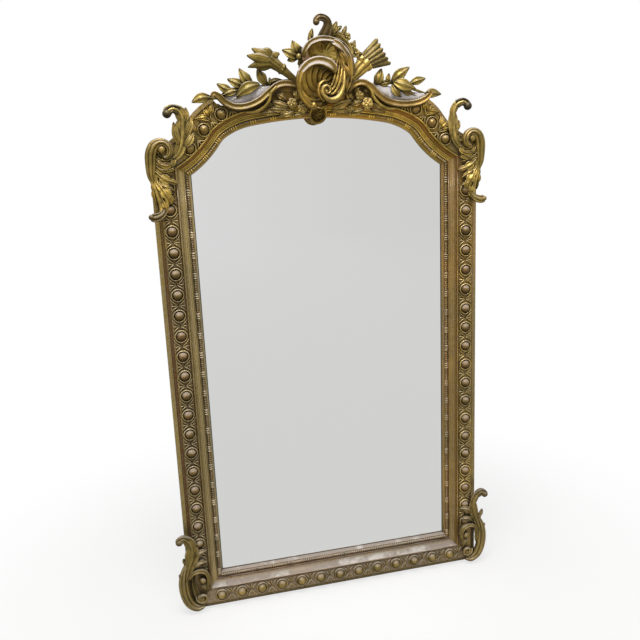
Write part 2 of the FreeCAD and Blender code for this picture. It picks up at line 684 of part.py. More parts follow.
def spiral():
    """Scroll that winds inwards on the rim and the hollow of the lower shell."""
    sphere_radius = sphere_through(SHELL_RADIUS, SHELL_DEPTH)
    outer = SHELL_RADIUS - SHELL_WALL / 2
    top = SEAT + SHELL_DEPTH + 2 * SEAT_GAP + SPIRAL_TUBE
    steps = int(SPIRAL_TURNS * SPIRAL_STEPS_PER_TURN)
    stations = []
    for i in range(steps + 1):
        share = i / steps
        radius = outer + (SPIRAL_END_RADIUS - outer) * share
        tube = SPIRAL_TUBE + (SPIRAL_END_TUBE - SPIRAL_TUBE) * share
        inside = sphere_radius - SHELL_WALL - tube - 2 * SEAT_GAP
        reach = math.sqrt(max(inside ** 2 - radius ** 2, 0))
        relief = min(top, SEAT + sphere_radius - reach)
        angle = SPIRAL_START + share * SPIRAL_TURNS * 2 * math.pi
        point = SHELL_MIDDLE + Vector(math.cos(angle), 0, math.sin(angle)) * radius
        stations.append((front(point, relief), tube, tube))
    return loft(stations)


def cartouche():
    """Lower shell, its spiral, the hood above it, the hood rim, the plume and the pendant."""
    save("cartouche_shell", bowl(SHELL_MIDDLE, SHELL_RADIUS, SHELL_DEPTH, SHELL_WALL))
    save("cartouche_scroll", spiral())
    shell_sphere = sphere_through(SHELL_RADIUS, SHELL_DEPTH)
    gap = Part.makeSphere(shell_sphere + HOOD_GAP, front(SHELL_MIDDLE, SEAT + shell_sphere))
    save("cartouche_hood", bowl(HOOD_MIDDLE, HOOD_RADIUS, HOOD_DEPTH, HOOD_WALL).cut(gap).Solids[0])
    stations = []
    rim_radius = HOOD_RADIUS - HOOD_WALL / 2
    for i in range(HOOD_RIM_STEPS + 1):
        angle = HOOD_RIM_END + (math.pi - 2 * HOOD_RIM_END) * i / HOOD_RIM_STEPS
        point = HOOD_MIDDLE + Vector(math.cos(angle), 0, math.sin(angle)) * rim_radius
        stations.append((front(point, HOOD_RIM_RELIEF), HOOD_RIM_TUBE, HOOD_RIM_TUBE))
    save("hood_rim", loft(stations))
    rows = [(2, 0, 12), (2, 6, 12.5), (8, 19, 12), (11, 33, 10), (6, 47, 8), (-5, 52, 7), (-14, 46, 6.5), (-15, 37, 5)]
    foot = HOOD_MIDDLE + Vector(0, 0, rim_radius + HOOD_RIM_TUBE + SEAT_GAP)
    widest = rows[0][2]
    stems = []
    for x, z, width in rows:
        stems.append((front(foot + Vector(x, 0, z), HOOD_RIM_RELIEF), width, PLUME_DEPTH * width / widest))
    save("crest_plume", loft(stems))
    place = Vector(PENDANT_OFFSET, 0, CROWN_RISE + PENDANT_RISE)
    save("pendant_shell", dome(place, LIP_RISE + BEAD_HEIGHT + SEAT_GAP, PENDANT_RADIUS, PENDANT_HEIGHT))


def turned(rows, start, end):
    """Turned piece: rows of distance share and radius along the line from start to end."""
    length = start.distanceToPoint(end)
    points = [Vector(0, 0, 0)] + [Vector(radius, 0, share * length) for share, radius in rows]
    points += [Vector(0, 0, length), Vector(0, 0, 0)]
    solid = Part.Face(Part.makePolygon(points)).revolve(Vector(0, 0, 0), Vector(0, 0, 1), 360)
    solid.Placement = FreeCAD.Placement(start, FreeCAD.Rotation(Vector(0, 0, 1), end - start))
    return solid


def from_shell(x, z, relief):
    """Model point counted from the middle of the lower shell, in steps of the crest drawing."""
    return front(SHELL_MIDDLE + Vector(x, 0, z) * CREST_UNIT, relief)


def torch():
    """Torch on the left: turned handle with its cup, and the flame."""
    start = from_shell(-45, 0, SEAT + TORCH_TAIL_RADIUS)
    end = from_shell(-132, 60, SEAT + TORCH_CUP_RADIUS + MOUTH_LIFT)
    rows = [(0, TORCH_TAIL_RADIUS), (0.55, 11), (0.72, 13), (0.76, TORCH_CUP_RADIUS), (0.82, 15),
            (1, TORCH_CUP_RADIUS)]
    save("torch_handle", turned(rows, start, end))
    ahead = (end - start).normalize()
    droop = Vector(0, 0, -1)
    flame = [(SEAT_GAP, 0, 14), (8, 0, 17), (20, 3, 19), (38, 10, 15), (54, 17, 9), (66, 23, 3)]
    save("torch_flame", loft([(end + ahead * far + droop * low, wide, wide) for far, low, wide in flame]))


def quiver():
    """Quiver on the right: turned body, and four arrow feathers fanned out of its mouth."""
    start = from_shell(60, -3, SEAT + QUIVER_TAIL_RADIUS)
    end = from_shell(131, 62, SEAT + QUIVER_MOUTH_RADIUS + MOUTH_LIFT)
    rows = [(0, QUIVER_TAIL_RADIUS), (0.3, 12), (0.75, 17), (0.85, 17), (0.9, QUIVER_MOUTH_RADIUS),
            (1, QUIVER_MOUTH_RADIUS)]
    save("quiver", turned(rows, start, end))
    ahead = (end - start).normalize()
    across = ahead.cross(Vector(0, -1, 0)).normalize()
    feathers = []
    for offset, fan in ((-15, -34), (-5, -11), (5, 11), (15, 34)):
        turn = math.radians(fan)
        aim = ahead * math.cos(turn) + across * math.sin(turn)
        root = end + ahead * SEAT_GAP + across * offset
        rows = [(FEATHER_ROOT * abs(math.tan(turn)), FEATHER_ROOT), (22, 6.5), (48, 10), (66, 9)]
        feathers.append(loft([(root + aim * far, wide, FEATHER_DEPTH) for far, wide in rows], lens=True))
    save("arrow_feathers", *feathers)


def on_stem(share, relief):
    """Place and slope on the laurel stem: over the outer fillet at both ends, sagging across the piercing."""
    run = (share - STEM_START_SHARE) / (STEM_END_SHARE - STEM_START_SHARE)
    out = GROOVE_END + OUTER_FILLET / 2 - STEM_SAG * math.sin(math.pi * run)
    return on_arch(crest_along(share), out, relief)


def laurel():
    """Right laurel spray: a stem across the piercing, and leaves in front of the stem."""
    stem_relief = OUTER_FILLET_HEIGHT + SEAT_GAP + STEM_RADIUS
    step = (STEM_END_SHARE - STEM_START_SHARE) / STEM_STEPS
    shares = [STEM_START_SHARE + step * i for i in range(STEM_STEPS + 1)]
    stem = [(on_stem(share, stem_relief)[0], STEM_RADIUS, STEM_RADIUS) for share in shares]
    relief = stem_relief + STEM_RADIUS + SEAT_GAP + LAUREL_DEPTH
    leaves = [(36.3, 34, 46, 9), (46.3, 35, 60, 11), (53.4, 61, 58, 11), (62.6, 30, 50, 9), (68.9, 72, 58, 10)]
    rows = [(0, 0.45), (0.3, 0.9), (0.55, 1), (0.8, 0.7), (1, 0.3)]
    solids = [loft(stem)]
    for share, lean, length, width in leaves:
        root, slope = on_stem(share, relief)
        aim = unit(slope + math.radians(lean)) * (length * CREST_UNIT)
        blade = []
        for far, wide in rows:
            half = width * wide * CREST_UNIT
            blade.append((root + aim * far, half, min(LAUREL_DEPTH, 0.8 * half)))
        solids.append(loft(blade, lens=True))
    save_pair("laurel", *solids)


def blossoms():
    """Round blossoms on short stems from the sides of the crest core."""
    beside = CORE_HALF_WIDTH + SEAT_GAP
    reach = 4 * CARCASS_DEPTH
    clear = box(-OUTER_HALF, OUTER_HALF, -reach, 0, 0, 2 * CROWN_RISE)
    clear = clear.cut(box(-beside, beside, -reach, 0, 0, 2 * CROWN_RISE))
    solids = []
    for side, x, z in ((-1, -72, 82), (1, 84, 90)):
        root = front(SHELL_MIDDLE + Vector(side * beside, 0, BLOSSOM_ROOT), SEAT - BLOSSOM_ROOT_DEPTH)
        head = from_shell(x, z, SEAT + BLOSSOM_LIFT)
        stem = Part.makeCylinder(STEM_RADIUS, root.distanceToPoint(head), root, head - root)
        solids.append(Part.makeSphere(BLOSSOM_RADIUS, head).fuse(stem).common(clear).Solids[0])
    save("crest_blossoms", *solids)


def crest_core():
    """Wooden block behind the cartouche, standing on the outer edge of the top rail."""
    out = FACE_WIDTH + SEAT_GAP
    arc = ARCS[0]
    slope = math.asin(CORE_HALF_WIDTH / (arc[1] + out))
    base = [arc_point(arc, turn, out) for turn in (-slope, 0, slope)]
    side = CROWN_RISE + FACE_WIDTH + CORE_RISE - CORE_HALF_WIDTH
    top = [Vector(CORE_HALF_WIDTH, 0, side), Vector(0, 0, side + CORE_HALF_WIDTH), Vector(-CORE_HALF_WIDTH, 0, side)]
    lift = Vector(0, -STRAP_THICKNESS, SILL)
    base = [point + lift for point in base]
    top = [point + lift for point in top]
    edges = [Part.Arc(*base).toShape(), Part.makeLine(base[2], top[0]), Part.Arc(*top).toShape(),
             Part.makeLine(top[2], base[0])]
    depth = CARCASS_DEPTH + SEAT - SEAT_GAP - STRAP_THICKNESS
    return Part.Face(Part.Wire(edges)).extrude(Vector(0, -depth, 0))


def strap(fit):
    """Iron strap that ties the crest core to the top rail, grown by a fit on its sides and ends."""
    half = STRAP_WIDTH / 2 + fit
    low = CROWN_RISE + BACK_INNER + STRAP_SCREW_EDGE / 2 - fit
    high = CROWN_RISE + FACE_WIDTH + CORE_RISE - STRAP_SCREW_EDGE + fit
    return box(-half, half, -STRAP_THICKNESS, 0, low, high)


HANGER_X = SIGHT_HALF + (BACK_INNER + FACE_WIDTH) / 2
HANGER_AXIS = Vector(HANGER_X, -POCKET_DEPTH + PLATE_THICKNESS + RING_GAP + RING_WIRE, HANGER_RISE + SILL)
RING_REACH = RING_BEND + RING_LEG + RING_RADIUS + RING_WIRE


def hanger_pocket():
    """Recess in the back of the right stile."""
    low = HANGER_RISE - PLATE_LENGTH - POCKET_END
    high = HANGER_RISE + RING_REACH + POCKET_END
    return box(HANGER_X - POCKET_HALF_WIDTH, HANGER_X + POCKET_HALF_WIDTH, -POCKET_DEPTH, POCKET_DEPTH, low, high)


def hanger_plate():
    """Plate with a knuckle round the straight bar of the ring."""
    plate = box(HANGER_X - PLATE_HALF_WIDTH, HANGER_X + PLATE_HALF_WIDTH, -POCKET_DEPTH,
                -POCKET_DEPTH + PLATE_THICKNESS, HANGER_RISE - PLATE_LENGTH, HANGER_RISE)
    start = HANGER_AXIS - Vector(KNUCKLE_LENGTH / 2, 0, 0)
    along = Vector(1, 0, 0)
    plate = plate.fuse(Part.makeCylinder(KNUCKLE_RADIUS, KNUCKLE_LENGTH, start, along))
    return plate.cut(Part.makeCylinder(RING_WIRE + RING_FIT, KNUCKLE_LENGTH, start, along))


def hanger_ring():
    """D-shaped ring of round wire, hanging from its straight bar."""
    bend = RING_BEND * (1 - math.sqrt(0.5))
    low = -RING_BEND - RING_LEG
    side = RING_RADIUS
    near = side - RING_BEND

    def at(x, z):
        return HANGER_AXIS + Vector(x, 0, z)

    edges = [Part.makeLine(at(0, 0), at(near, 0)),
             Part.Arc(at(near, 0), at(side - bend, -bend), at(side, -RING_BEND)).toShape(),
             Part.makeLine(at(side, -RING_BEND), at(side, low)),
             Part.Arc(at(side, low), at(0, low - side), at(-side, low)).toShape(),
             Part.makeLine(at(-side, low), at(-side, -RING_BEND)),
             Part.Arc(at(-side, -RING_BEND), at(bend - side, -bend), at(-near, 0)).toShape(),
             Part.makeLine(at(-near, 0), at(0, 0))]
    round_wire = Part.Wire(Part.Circle(at(0, 0), Vector(1, 0, 0), RING_WIRE).toShape())
    sweep = Part.BRepOffsetAPI.MakePipeShell(Part.Wire(edges))
    sweep.add(round_wire)
    sweep.build()
    sweep.makeSolid()
    return sweep.shape()


def frame_and_back():
    """Glass, carcass, mouldings, boards, hangers and every screw that enters from the back."""
    glass = outline_block(GLASS_REBATE - GLASS_CLEARANCE, CARCASS_DEPTH - GLASS_THICKNESS, GLASS_THICKNESS)
    save("mirror_glass", glass)
    stile, bottom, top = carcass()
    boards, width = backboards()
    ledge = GLASS_REBATE + BOARD_REBATE / 2
    board_back = BOARD_THICKNESS - BOARD_LEDGE_DEPTH
    side_span = SHOULDER_RISE - 2 * SCREW_EDGE
    sides = [(SIGHT_HALF + ledge, SCREW_EDGE + side_span * i / (STILE_SCREWS - 1)) for i in range(STILE_SCREWS)]
    feet = [((i - (BOARD_COUNT - 1) / 2) * width, -ledge) for i in range(BOARD_COUNT)]
    crown = [(0.0, CROWN_RISE + ledge)]
    strap_rail = [(0.0, CROWN_RISE + BACK_INNER + STRAP_SCREW_EDGE), (0.0, CROWN_RISE + FACE_WIDTH - STRAP_SCREW_EDGE)]
    strap_core = [(0.0, CROWN_RISE + FACE_WIDTH + STRAP_SCREW_EDGE), (0.0, SHELL_MIDDLE.z + HOOD_RISE)]
    plate_screws = [(HANGER_X, HANGER_RISE - HANGER_SCREW_TOP - i * HANGER_SCREW_PITCH) for i in range(2)]
    plate_head = -POCKET_DEPTH + PLATE_THICKNESS + SCREW_HEAD
    right_screws = [screw(x, z, board_back) for x, z in sides] + [screw(x, z, plate_head) for x, z in plate_screws]
    middle_screws = [screw(x, z, board_back) for x, z in feet + crown]
    middle_screws += [screw(x, z, 0) for x, z in strap_rail + strap_core]
    save("back_screws", *right_screws, *[mirrored(solid) for solid in right_screws], *middle_screws)
    side_holes = [screw_hole(x, z, board_back) for x, z in sides]
    plate_holes = [screw_hole(x, z, plate_head) for x, z in plate_screws]
    board_holes = side_holes + [mirrored(hole) for hole in side_holes]
    board_holes += [screw_hole(x, z, board_back) for x, z in feet + crown]
    strap_holes = [screw_hole(x, z, 0) for x, z in strap_rail + strap_core]
    names = ["left", "middle", "right"] + [str(i + 1) for i in range(3, BOARD_COUNT)]
    for name, board in zip(names, boards):
        save("backboard_" + name, board.cut(board_holes))
    save_pair("carcass_stile", stile.cut([hanger_pocket()] + side_holes + plate_holes).Solids[0])
    save("carcass_bottom_rail", bottom.cut(board_holes).Solids[0])
    openings = [piercing(), mirrored(piercing())]
    save("carcass_top_rail", top.cut([strap(STRAP_FIT)] + openings + board_holes + strap_holes).Solids[0])
    save("crest_strap", strap(0).cut(strap_holes))
    save("crest_core", crest_core().cut(strap_holes))
    save_pair("hanger_plate", hanger_plate().cut(plate_holes))
    save_pair("hanger_ring", hanger_ring())
    save("glazing_blocks", *glazing_blocks())


def moulded_runs():
    """Mitred mouldings, sight strips and egg runs."""
    for name, wire in (("moulding", moulding_wire), ("sight_strip", bead_wire)):
        save_pair(name, stile_run(wire))
        save(name + "_bottom", bottom_run(wire))
    crown, shoulder = top_lengths(top_run(moulding_wire).cut([piercing(), mirrored(piercing())]).Solids[0])
    save("moulding_top", crown)
    save_pair("moulding_shoulder", shoulder)
    save("sight_strip_top", top_run(bead_wire))
    save_pair("egg_run", stile_eggs())
    save("egg_run_bottom", bottom_eggs())
    eggs = shoulder_eggs()
    save("egg_run_top", *eggs, *[mirrored(egg) for egg in eggs])


os.makedirs("parts", exist_ok=True)
frame_and_back()
moulded_runs()
top_corner()
bottom_corner()
crest_bars()
cartouche()
torch()
quiver()
laurel()
blossoms()
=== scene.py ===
import math
from contextlib import contextmanager

import bmesh
import bpy
from mathutils import Matrix, Vector


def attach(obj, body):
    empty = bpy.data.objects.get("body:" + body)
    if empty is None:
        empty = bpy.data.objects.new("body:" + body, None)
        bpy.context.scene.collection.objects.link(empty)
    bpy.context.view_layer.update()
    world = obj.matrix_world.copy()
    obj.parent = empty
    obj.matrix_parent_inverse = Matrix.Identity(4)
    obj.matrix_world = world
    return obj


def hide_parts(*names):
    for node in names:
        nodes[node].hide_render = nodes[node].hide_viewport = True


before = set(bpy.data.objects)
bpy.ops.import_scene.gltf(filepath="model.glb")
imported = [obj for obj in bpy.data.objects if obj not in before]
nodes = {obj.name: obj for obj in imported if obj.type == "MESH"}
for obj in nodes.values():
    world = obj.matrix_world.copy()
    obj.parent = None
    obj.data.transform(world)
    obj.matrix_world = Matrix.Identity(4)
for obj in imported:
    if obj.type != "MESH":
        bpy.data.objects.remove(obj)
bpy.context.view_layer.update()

# Front-view millimetres: x across, z above the sill of the glass opening, h in front of the glass.
# Names that end in OUT are distances out from the sight edge. EYE is where the camera stands, and RUN_UNIT is
# the repeat of eggs and beads.
MM = 0.001
WALL_TO_GLASS = 32.0
SILL = 68.0
SIGHT_HALF = 380.0
SHOULDER_RISE = 1241.0
FOOT = -42.0
EYE = Vector((-509.0, 1263.0, 2063.0))
BED_OUT = 66.0
BED_H = 36.0
BED_TILT = 4 / 42
SHOULDER_EGG_OUT = 59.0
BEAD_OUT = 11.0
BEAD_H = 13.0
RUN_UNIT = 60.2
LINE_OUT = 44.5
GROOVE_OUT = 93.0
HOLLOW_OUT = 30.0


class Value:
    """A shader value. Operators on it add Math nodes."""

    def __init__(self, finish, socket):
        self.finish = finish
        self.socket = socket

    def math(self, operation, *others, **settings):
        return self.finish.add("Math", 0, dict(operation=operation, **settings), self, *others)

    def __add__(self, other):
        return self.math("ADD", other)

    def __sub__(self, other):
        return self.math("SUBTRACT", other)

    def __rsub__(self, other):
        return self.finish.add("Math", 0, {"operation": "SUBTRACT"}, other, self)

    def __mul__(self, other):
        return self.math("MULTIPLY", other)

    def clamp(self):
        return self.math("ADD", 0.0, use_clamp=True)

    __radd__ = __add__
    __rmul__ = __mul__


class Nodes:
    """Shader nodes of a material or of the world."""

    def __init__(self, owner):
        owner.use_nodes = True
        self.tree = owner.node_tree

    def add(self, kind, out, settings, *inputs, **named):
        """New node of a kind with its settings, then its inputs in order or by name. Returns one output."""
        node = self.tree.nodes.new("ShaderNode" + kind)
        for key, value in settings.items():
            setattr(node, key, value)
        for key, value in list(enumerate(inputs)) + [(k.replace("_", " "), v) for k, v in named.items()]:
            self.feed(node.inputs[key], value)
        return Value(self, node.outputs[out])

    def feed(self, socket, value):
        """Link a value to a socket, or set the socket's own number or colour."""
        if isinstance(value, Value):
            self.tree.links.new(value.socket, socket)
        elif hasattr(value, "__len__") and len(value) == 3 and socket.type == "RGBA":
            socket.default_value = (*value, 1)
        else:
            socket.default_value = value

    def place(self, stretch=(1, 1, 1), turn=(0, 0, 0)):
        """Object coordinates, stretched and turned."""
        base = self.add("TexCoord", "Object", {})
        return self.add("Mapping", 0, {}, base, Scale=stretch, Rotation=turn)

    def noise(self, where, scale, detail=4.0, rough=0.55):
        return self.add("TexNoise", 0, {}, where, Scale=scale, Detail=detail, Roughness=rough)

    def band(self, value, low, high):
        """0 below low, 1 above high."""
        return self.add("MapRange", 0, {"interpolation_type": "SMOOTHSTEP"}, value, low, high)

    def mix(self, share, first, second):
        node = self.tree.nodes.new("ShaderNodeMix")
        node.data_type = "RGBA"
        for socket, value in ((node.inputs[0], share), (node.inputs[6], first), (node.inputs[7], second)):
            self.feed(socket, value)
        return Value(self, node.outputs[2])

    def bump(self, height, strength, distance):
        return self.add("Bump", 0, {}, Strength=strength, Distance=distance, Height=height)


class Finish(Nodes):
    """One material with its nodes."""

    def __init__(self, name):
        self.material = bpy.data.materials.new(name)
        super().__init__(self.material)
        self.shader = self.tree.nodes["Principled BSDF"]

    def glow(self, colour, share):
        """Blend the surface with plain light of a colour."""
        light = self.add("Emission", 0, {}, colour)
        blend = self.add("MixShader", 0, {}, share, Value(self, self.shader.outputs[0]), light)
        self.feed(self.tree.nodes["Material Output"].inputs[0], blend)

    def done(self, **sockets):
        for key, value in sockets.items():
            self.feed(self.shader.inputs[key.replace("_", " ")], value)
        return self.material


def rgb(red, green, blue):
    """Linear colour from screen values."""
    shares = (c / 255 for c in (red, green, blue))
    return tuple(c / 12.92 if c < 0.0404 else ((c + 0.055) / 1.055) ** 2.4 for c in shares)


def times(colour, share):
    """Colour made darker or lighter."""
    return tuple(c * share for c in colour)


OLIVE = rgb(116, 102, 40)
BOLE = rgb(118, 68, 26)
# Near-black tone that ambient occlusion mixes into hollows and gaps: partly dirt, partly painted shade.
DIRT_AND_SHADE_TONE = rgb(36, 24, 8)
BED_DIRT = rgb(104, 76, 32)
GROOVE = rgb(124, 78, 26)
STREAK = rgb(124, 108, 86)
DUST = rgb(170, 158, 144)
GESSO = rgb(214, 208, 202)
RUN_PITCH = 0.0066


def gilding(name, leaf, bole=0.2, dust=0.3, rub=0.3, dull=0.0, grain=(1, 1, 1), vary=0.3,
            ledge=0.35, film_tone=DUST, strips=(), run=None, grime_and_shade=0.92, reach=0.026, underside_shade=0.25, bloom=0.0):
    """Aged gold leaf: red bole where it is thin, dirty hollows with painted shade, dust on ledges, rubbed
    edges.

    run is the axis across drawn lines. Strips are bands of another tone: axis, middle, half-width, tone and
    share.
    """
    f = Finish(name)
    where = f.place()
    broad = f.noise(where, 5.0, 3.0)
    middle = f.noise(f.place(grain), 34.0, 5.0, 0.6)
    fine = f.noise(where, 240.0, 4.0, 0.7)
    gold = f.mix(f.band(middle, 0.32, 0.7), times(leaf, 1 - vary), times(leaf, 1 + vary))
    gold = f.mix(f.band(broad, 0.38, 0.66) * 0.55, gold, OLIVE)
    gold = f.mix(f.band(fine, 0.5, 0.72) * 0.4, gold, times(leaf, 0.4))
    thin = f.band(middle * 0.55 + broad * 0.45, 0.64 - 0.3 * bole, 0.76 - 0.25 * bole) * 0.8
    gold = f.mix(thin, gold, BOLE)
    relief = middle * 0.65 + fine * 0.35
    if run:
        across = f.add("SeparateXYZ", run, {}, where).math("ABSOLUTE")
        lines = (across * (2 * math.pi / RUN_PITCH)).math("SINE") * 0.5 + 0.5
        streak = f.noise(f.place([0.03 if c < 1 else c for c in grain]), 150.0, 3.0, 0.6)
        gold = f.mix(f.band(streak, 0.42, 0.66) * 0.6, gold, STREAK)
        gold = f.mix(lines * middle * 0.6, gold, times(leaf, 0.4))
        relief = relief + lines * 0.3 + streak * 0.3
    for axis, centre, half, tone, share in strips:
        far = f.add("SeparateXYZ", axis, {}, where)
        off = ((far.math("ABSOLUTE") if axis == "X" else far) - centre).math("ABSOLUTE")
        inside = 1 - f.band(off + (fine - 0.5) * 0.006, half * 0.75, half * 1.1)
        gold = f.mix(inside * share, gold, tone)
    # Ambient occlusion darkens hollows, creases and contact between pieces: real dirt there, deepened by
    # painted shade.
    shut = f.add("AmbientOcclusion", "AO", {"samples": 8}, Distance=reach)
    dirt_and_shade = f.band(1 - shut + (fine - 0.5) * 0.3, 0.2, 0.66)
    edge = f.band(f.add("NewGeometry", "Pointiness", {}), 0.51, 0.58)
    up = f.add("SeparateXYZ", "Z", {}, f.add("NewGeometry", "Normal", {}))
    film = f.band(up + (middle - 0.5) * 1.2 + (broad - 0.5) * 0.8, ledge, ledge + 0.6) * dust
    worn = (edge * f.band(fine + up * 0.3, 0.4, 0.68) * rub).clamp()
    # Faces that look down are darkened towards a quarter of the leaf colour: painted shade of the light from
    # above.
    low = 1 - f.band(up + (middle - 0.5) * 0.5, -0.6, 0.3)
    colour = f.mix(low * underside_shade, gold, times(leaf, 0.25))
    patch = f.noise(where, 11.0, 5.0, 0.65)
    pale_film = f.mix(f.band(patch, 0.5, 0.66) * bloom, film_tone, GESSO)
    colour = f.mix(film, colour, pale_film)
    colour = f.mix(worn, colour, GESSO)
    colour = f.mix(dirt_and_shade * grime_and_shade, colour, DIRT_AND_SHADE_TONE)
    pale = (film + worn).clamp()
    rough = 0.34 + dull + (middle - 0.5) * 0.3 + pale * 0.3 + dirt_and_shade * 0.3
    metal = (0.84 - dull - pale * 0.8 - dirt_and_shade * 0.6 - thin * 0.4).clamp()
    f.done(Base_Color=colour, Roughness=rough, Metallic=metal, Specular_IOR_Level=0.25)
    return f.done(Normal=f.bump(relief, 0.45, 0.0012))


def pine(name, tone, turn):
    """Old bare softwood with grain, knots and dust."""
    f = Finish(name)
    where = f.place((9, 9, 0.55), turn)
    ring = f.add("TexWave", 0, {"wave_type": "BANDS", "bands_direction": "X"}, where, 0.8, 15.0, 3.0, 0.45)
    fibre = f.noise(f.place((220, 220, 6), turn), 1.0, 5.0, 0.6)
    blotch = f.noise(f.place(), 6.0, 3.0)
    colour = f.mix(f.band(ring, 0.1, 0.95) * 0.5, tone, times(tone, 0.62))
    colour = f.mix(f.band(fibre, 0.4, 0.75) * 0.45, colour, times(tone, 0.5))
    colour = f.mix(f.band(blotch, 0.45, 0.75) * 0.4, colour, rgb(92, 78, 62))
    relief = f.bump(fibre * 0.7 + ring * 0.3, 0.3, 0.001)
    return f.done(Base_Color=colour, Roughness=0.62 + (fibre - 0.5) * 0.3, Normal=relief)


def silvered_glass():
    """Old silvered plate with faint foxing along its foot and painted lip shadow at its sides and foot."""
    f = Finish("silvered_glass")
    where = f.place()
    height = f.add("SeparateXYZ", "Z", {}, where)
    spots = f.band(f.noise(where, 60.0, 5.0, 0.7), 0.66, 0.74) * (1 - f.band(height, 0.09, 0.2)) * 0.3
    colour = f.mix(spots, rgb(246, 247, 246), rgb(140, 134, 124))
    # Dark border within a few millimetres of the side and foot edges: painted shadow of the frame's lip on
    # the glass.
    across = f.add("SeparateXYZ", "X", {}, where).math("ABSOLUTE")
    rim = (f.band(across, (SIGHT_HALF - 3) * MM, (SIGHT_HALF - 1.5) * MM)
           + 1 - f.band(height, (SILL + 1.5) * MM, (SILL + 3) * MM)).clamp()
    colour = f.mix(rim, colour, rgb(62, 58, 48))
    haze = f.band(f.noise(where, 9.0, 3.0), 0.5, 0.8)
    return f.done(Base_Color=colour, Roughness=0.012 + spots * 0.25 + haze * 0.01 + rim * 0.3, Metallic=1.0)


def forged(name, tone, rust):
    """Dark iron or steel with rust in patches."""
    f = Finish(name)
    patch = f.noise(f.place(), 130.0, 5.0, 0.65)
    spread = f.band(patch, 0.52, 0.68) * rust
    colour = f.mix(spread, tone, rgb(104, 62, 36))
    rough = 0.45 + spread * 0.35 + (patch - 0.5) * 0.2
    metal = (0.9 - spread * 0.8).clamp()
    return f.done(Base_Color=colour, Roughness=rough, Metallic=metal, Normal=f.bump(patch, 0.3, 0.0006))


def beside(out):
    """Distance from the middle of the frame in metres, at a distance out on a stile."""
    return (SIGHT_HALF + out) * MM


def below(out):
    """Height in metres, at a distance out on the bottom rail."""
    return (SILL - out) * MM


STILE_TOP = 1.3
UPRIGHT = (1, 1, 0.12)
LEVEL = (0.12, 1, 1)
STILE_STRIPS = (
    ("X", beside(BED_OUT), 0.021, BED_DIRT, 0.8),
    ("X", beside(GROOVE_OUT), 0.005, GROOVE, 0.8),
    ("X", beside(LINE_OUT), 0.003, GROOVE, 0.7),
    ("X", beside(106), 0.006, rgb(146, 126, 66), 0.6),
    ("X", beside(HOLLOW_OUT), 0.008, rgb(178, 156, 104), 0.75),
    ("Z", STILE_TOP, 0.22, rgb(172, 142, 58), 0.3))
WARM_STRIPS = STILE_STRIPS[1:3] + (
    ("X", beside(BED_OUT), 0.021, rgb(136, 112, 50), 0.75),
    ("X", beside(106), 0.006, rgb(134, 118, 74), 0.7),
    ("X", beside(HOLLOW_OUT), 0.006, rgb(148, 126, 80), 0.6),
    ("X", beside(40), 0.003, rgb(142, 104, 44), 0.5),
    ("Z", STILE_TOP, 0.36, rgb(172, 124, 42), 0.35))
FOOT_STRIPS = (
    ("Z", below(BED_OUT), 0.021, rgb(140, 116, 80), 0.7),
    ("Z", below(GROOVE_OUT), 0.004, GROOVE, 0.5),
    ("Z", below(LINE_OUT), 0.003, GROOVE, 0.5),
    ("Z", below(20), 0.005, rgb(116, 74, 42), 0.75),
    ("Z", below(104), 0.008, rgb(124, 102, 44), 0.8))
# After the leaf colour come bole, dust, rub and dull, then grain and vary where they are given.
STILE_GILT = gilding(
    "gilt_stile", rgb(164, 140, 72), 0.1, 0.05, 0.2, 0.04, UPRIGHT, 0.14, strips=STILE_STRIPS, run="X",
    grime_and_shade=0.55, underside_shade=0.0)
WARM_GILT = gilding(
    "gilt_warm", rgb(166, 132, 54), 0.4, 0.05, 0.2, 0.04, UPRIGHT, 0.14, strips=WARM_STRIPS, run="X",
    grime_and_shade=0.5, underside_shade=0.0)
TOP_GILT = gilding("gilt_top", rgb(184, 138, 44), 0.35, 0.15, 0.5, 0.0, LEVEL, 0.28, grime_and_shade=0.6, underside_shade=0.0)
SHOULDER_GILT = gilding(
    "gilt_shoulder", rgb(170, 138, 62), 0.25, 0.8, 0.4, 0.04, ledge=0.2, film_tone=rgb(176, 166, 160),
    grime_and_shade=0.6, underside_shade=0.0)
FOOT_GILT = gilding(
    "gilt_foot", rgb(148, 120, 66), 0.25, 0.85, 0.3, 0.1, LEVEL, 0.15, strips=FOOT_STRIPS, run="Z",
    film_tone=rgb(126, 108, 94), grime_and_shade=0.3, underside_shade=0.0, bloom=1.0)
FOOT_EGG_GILT = gilding(
    "gilt_foot_egg", rgb(164, 138, 76), 0.2, 0.7, 0.2, 0.06, ledge=0.2, film_tone=rgb(158, 142, 124),
    grime_and_shade=0.25)
FOOT_BEAD_GILT = gilding("gilt_foot_bead", rgb(140, 108, 60), 0.4, 0.5, 0.3, 0.06, grime_and_shade=0.6)
LINE_GILT = gilding("gilt_line", rgb(154, 132, 78), 0.2, 0.2, 0.3, 0.04, grime_and_shade=0.5)
WARM_LINE = gilding("gilt_warm_line", rgb(172, 136, 62), 0.3, 0.2, 0.3, 0.04, grime_and_shade=0.5)
BRIGHT_GILT = gilding("gilt_bright", rgb(228, 188, 78), 0.15, 0.2, 0.3, grime_and_shade=0.5, underside_shade=0.0)
TOP_BEAD_GILT = gilding("gilt_top_bead", rgb(178, 140, 54), 0.3, 0.3, 0.4, grime_and_shade=0.6, reach=0.01)
REEL_GILT = gilding("gilt_reel", rgb(208, 182, 128), 0.15, 0.4, 0.4, 0.05, grime_and_shade=0.5, reach=0.008)
WARM_REEL = gilding("gilt_warm_reel", rgb(178, 140, 66), 0.3, 0.3, 0.4, 0.05, grime_and_shade=0.6, reach=0.012)
BARREL_GILT = gilding("gilt_barrel", rgb(126, 98, 54), 0.4, 0.1, 0.2, 0.06, grime_and_shade=0.6, reach=0.01)
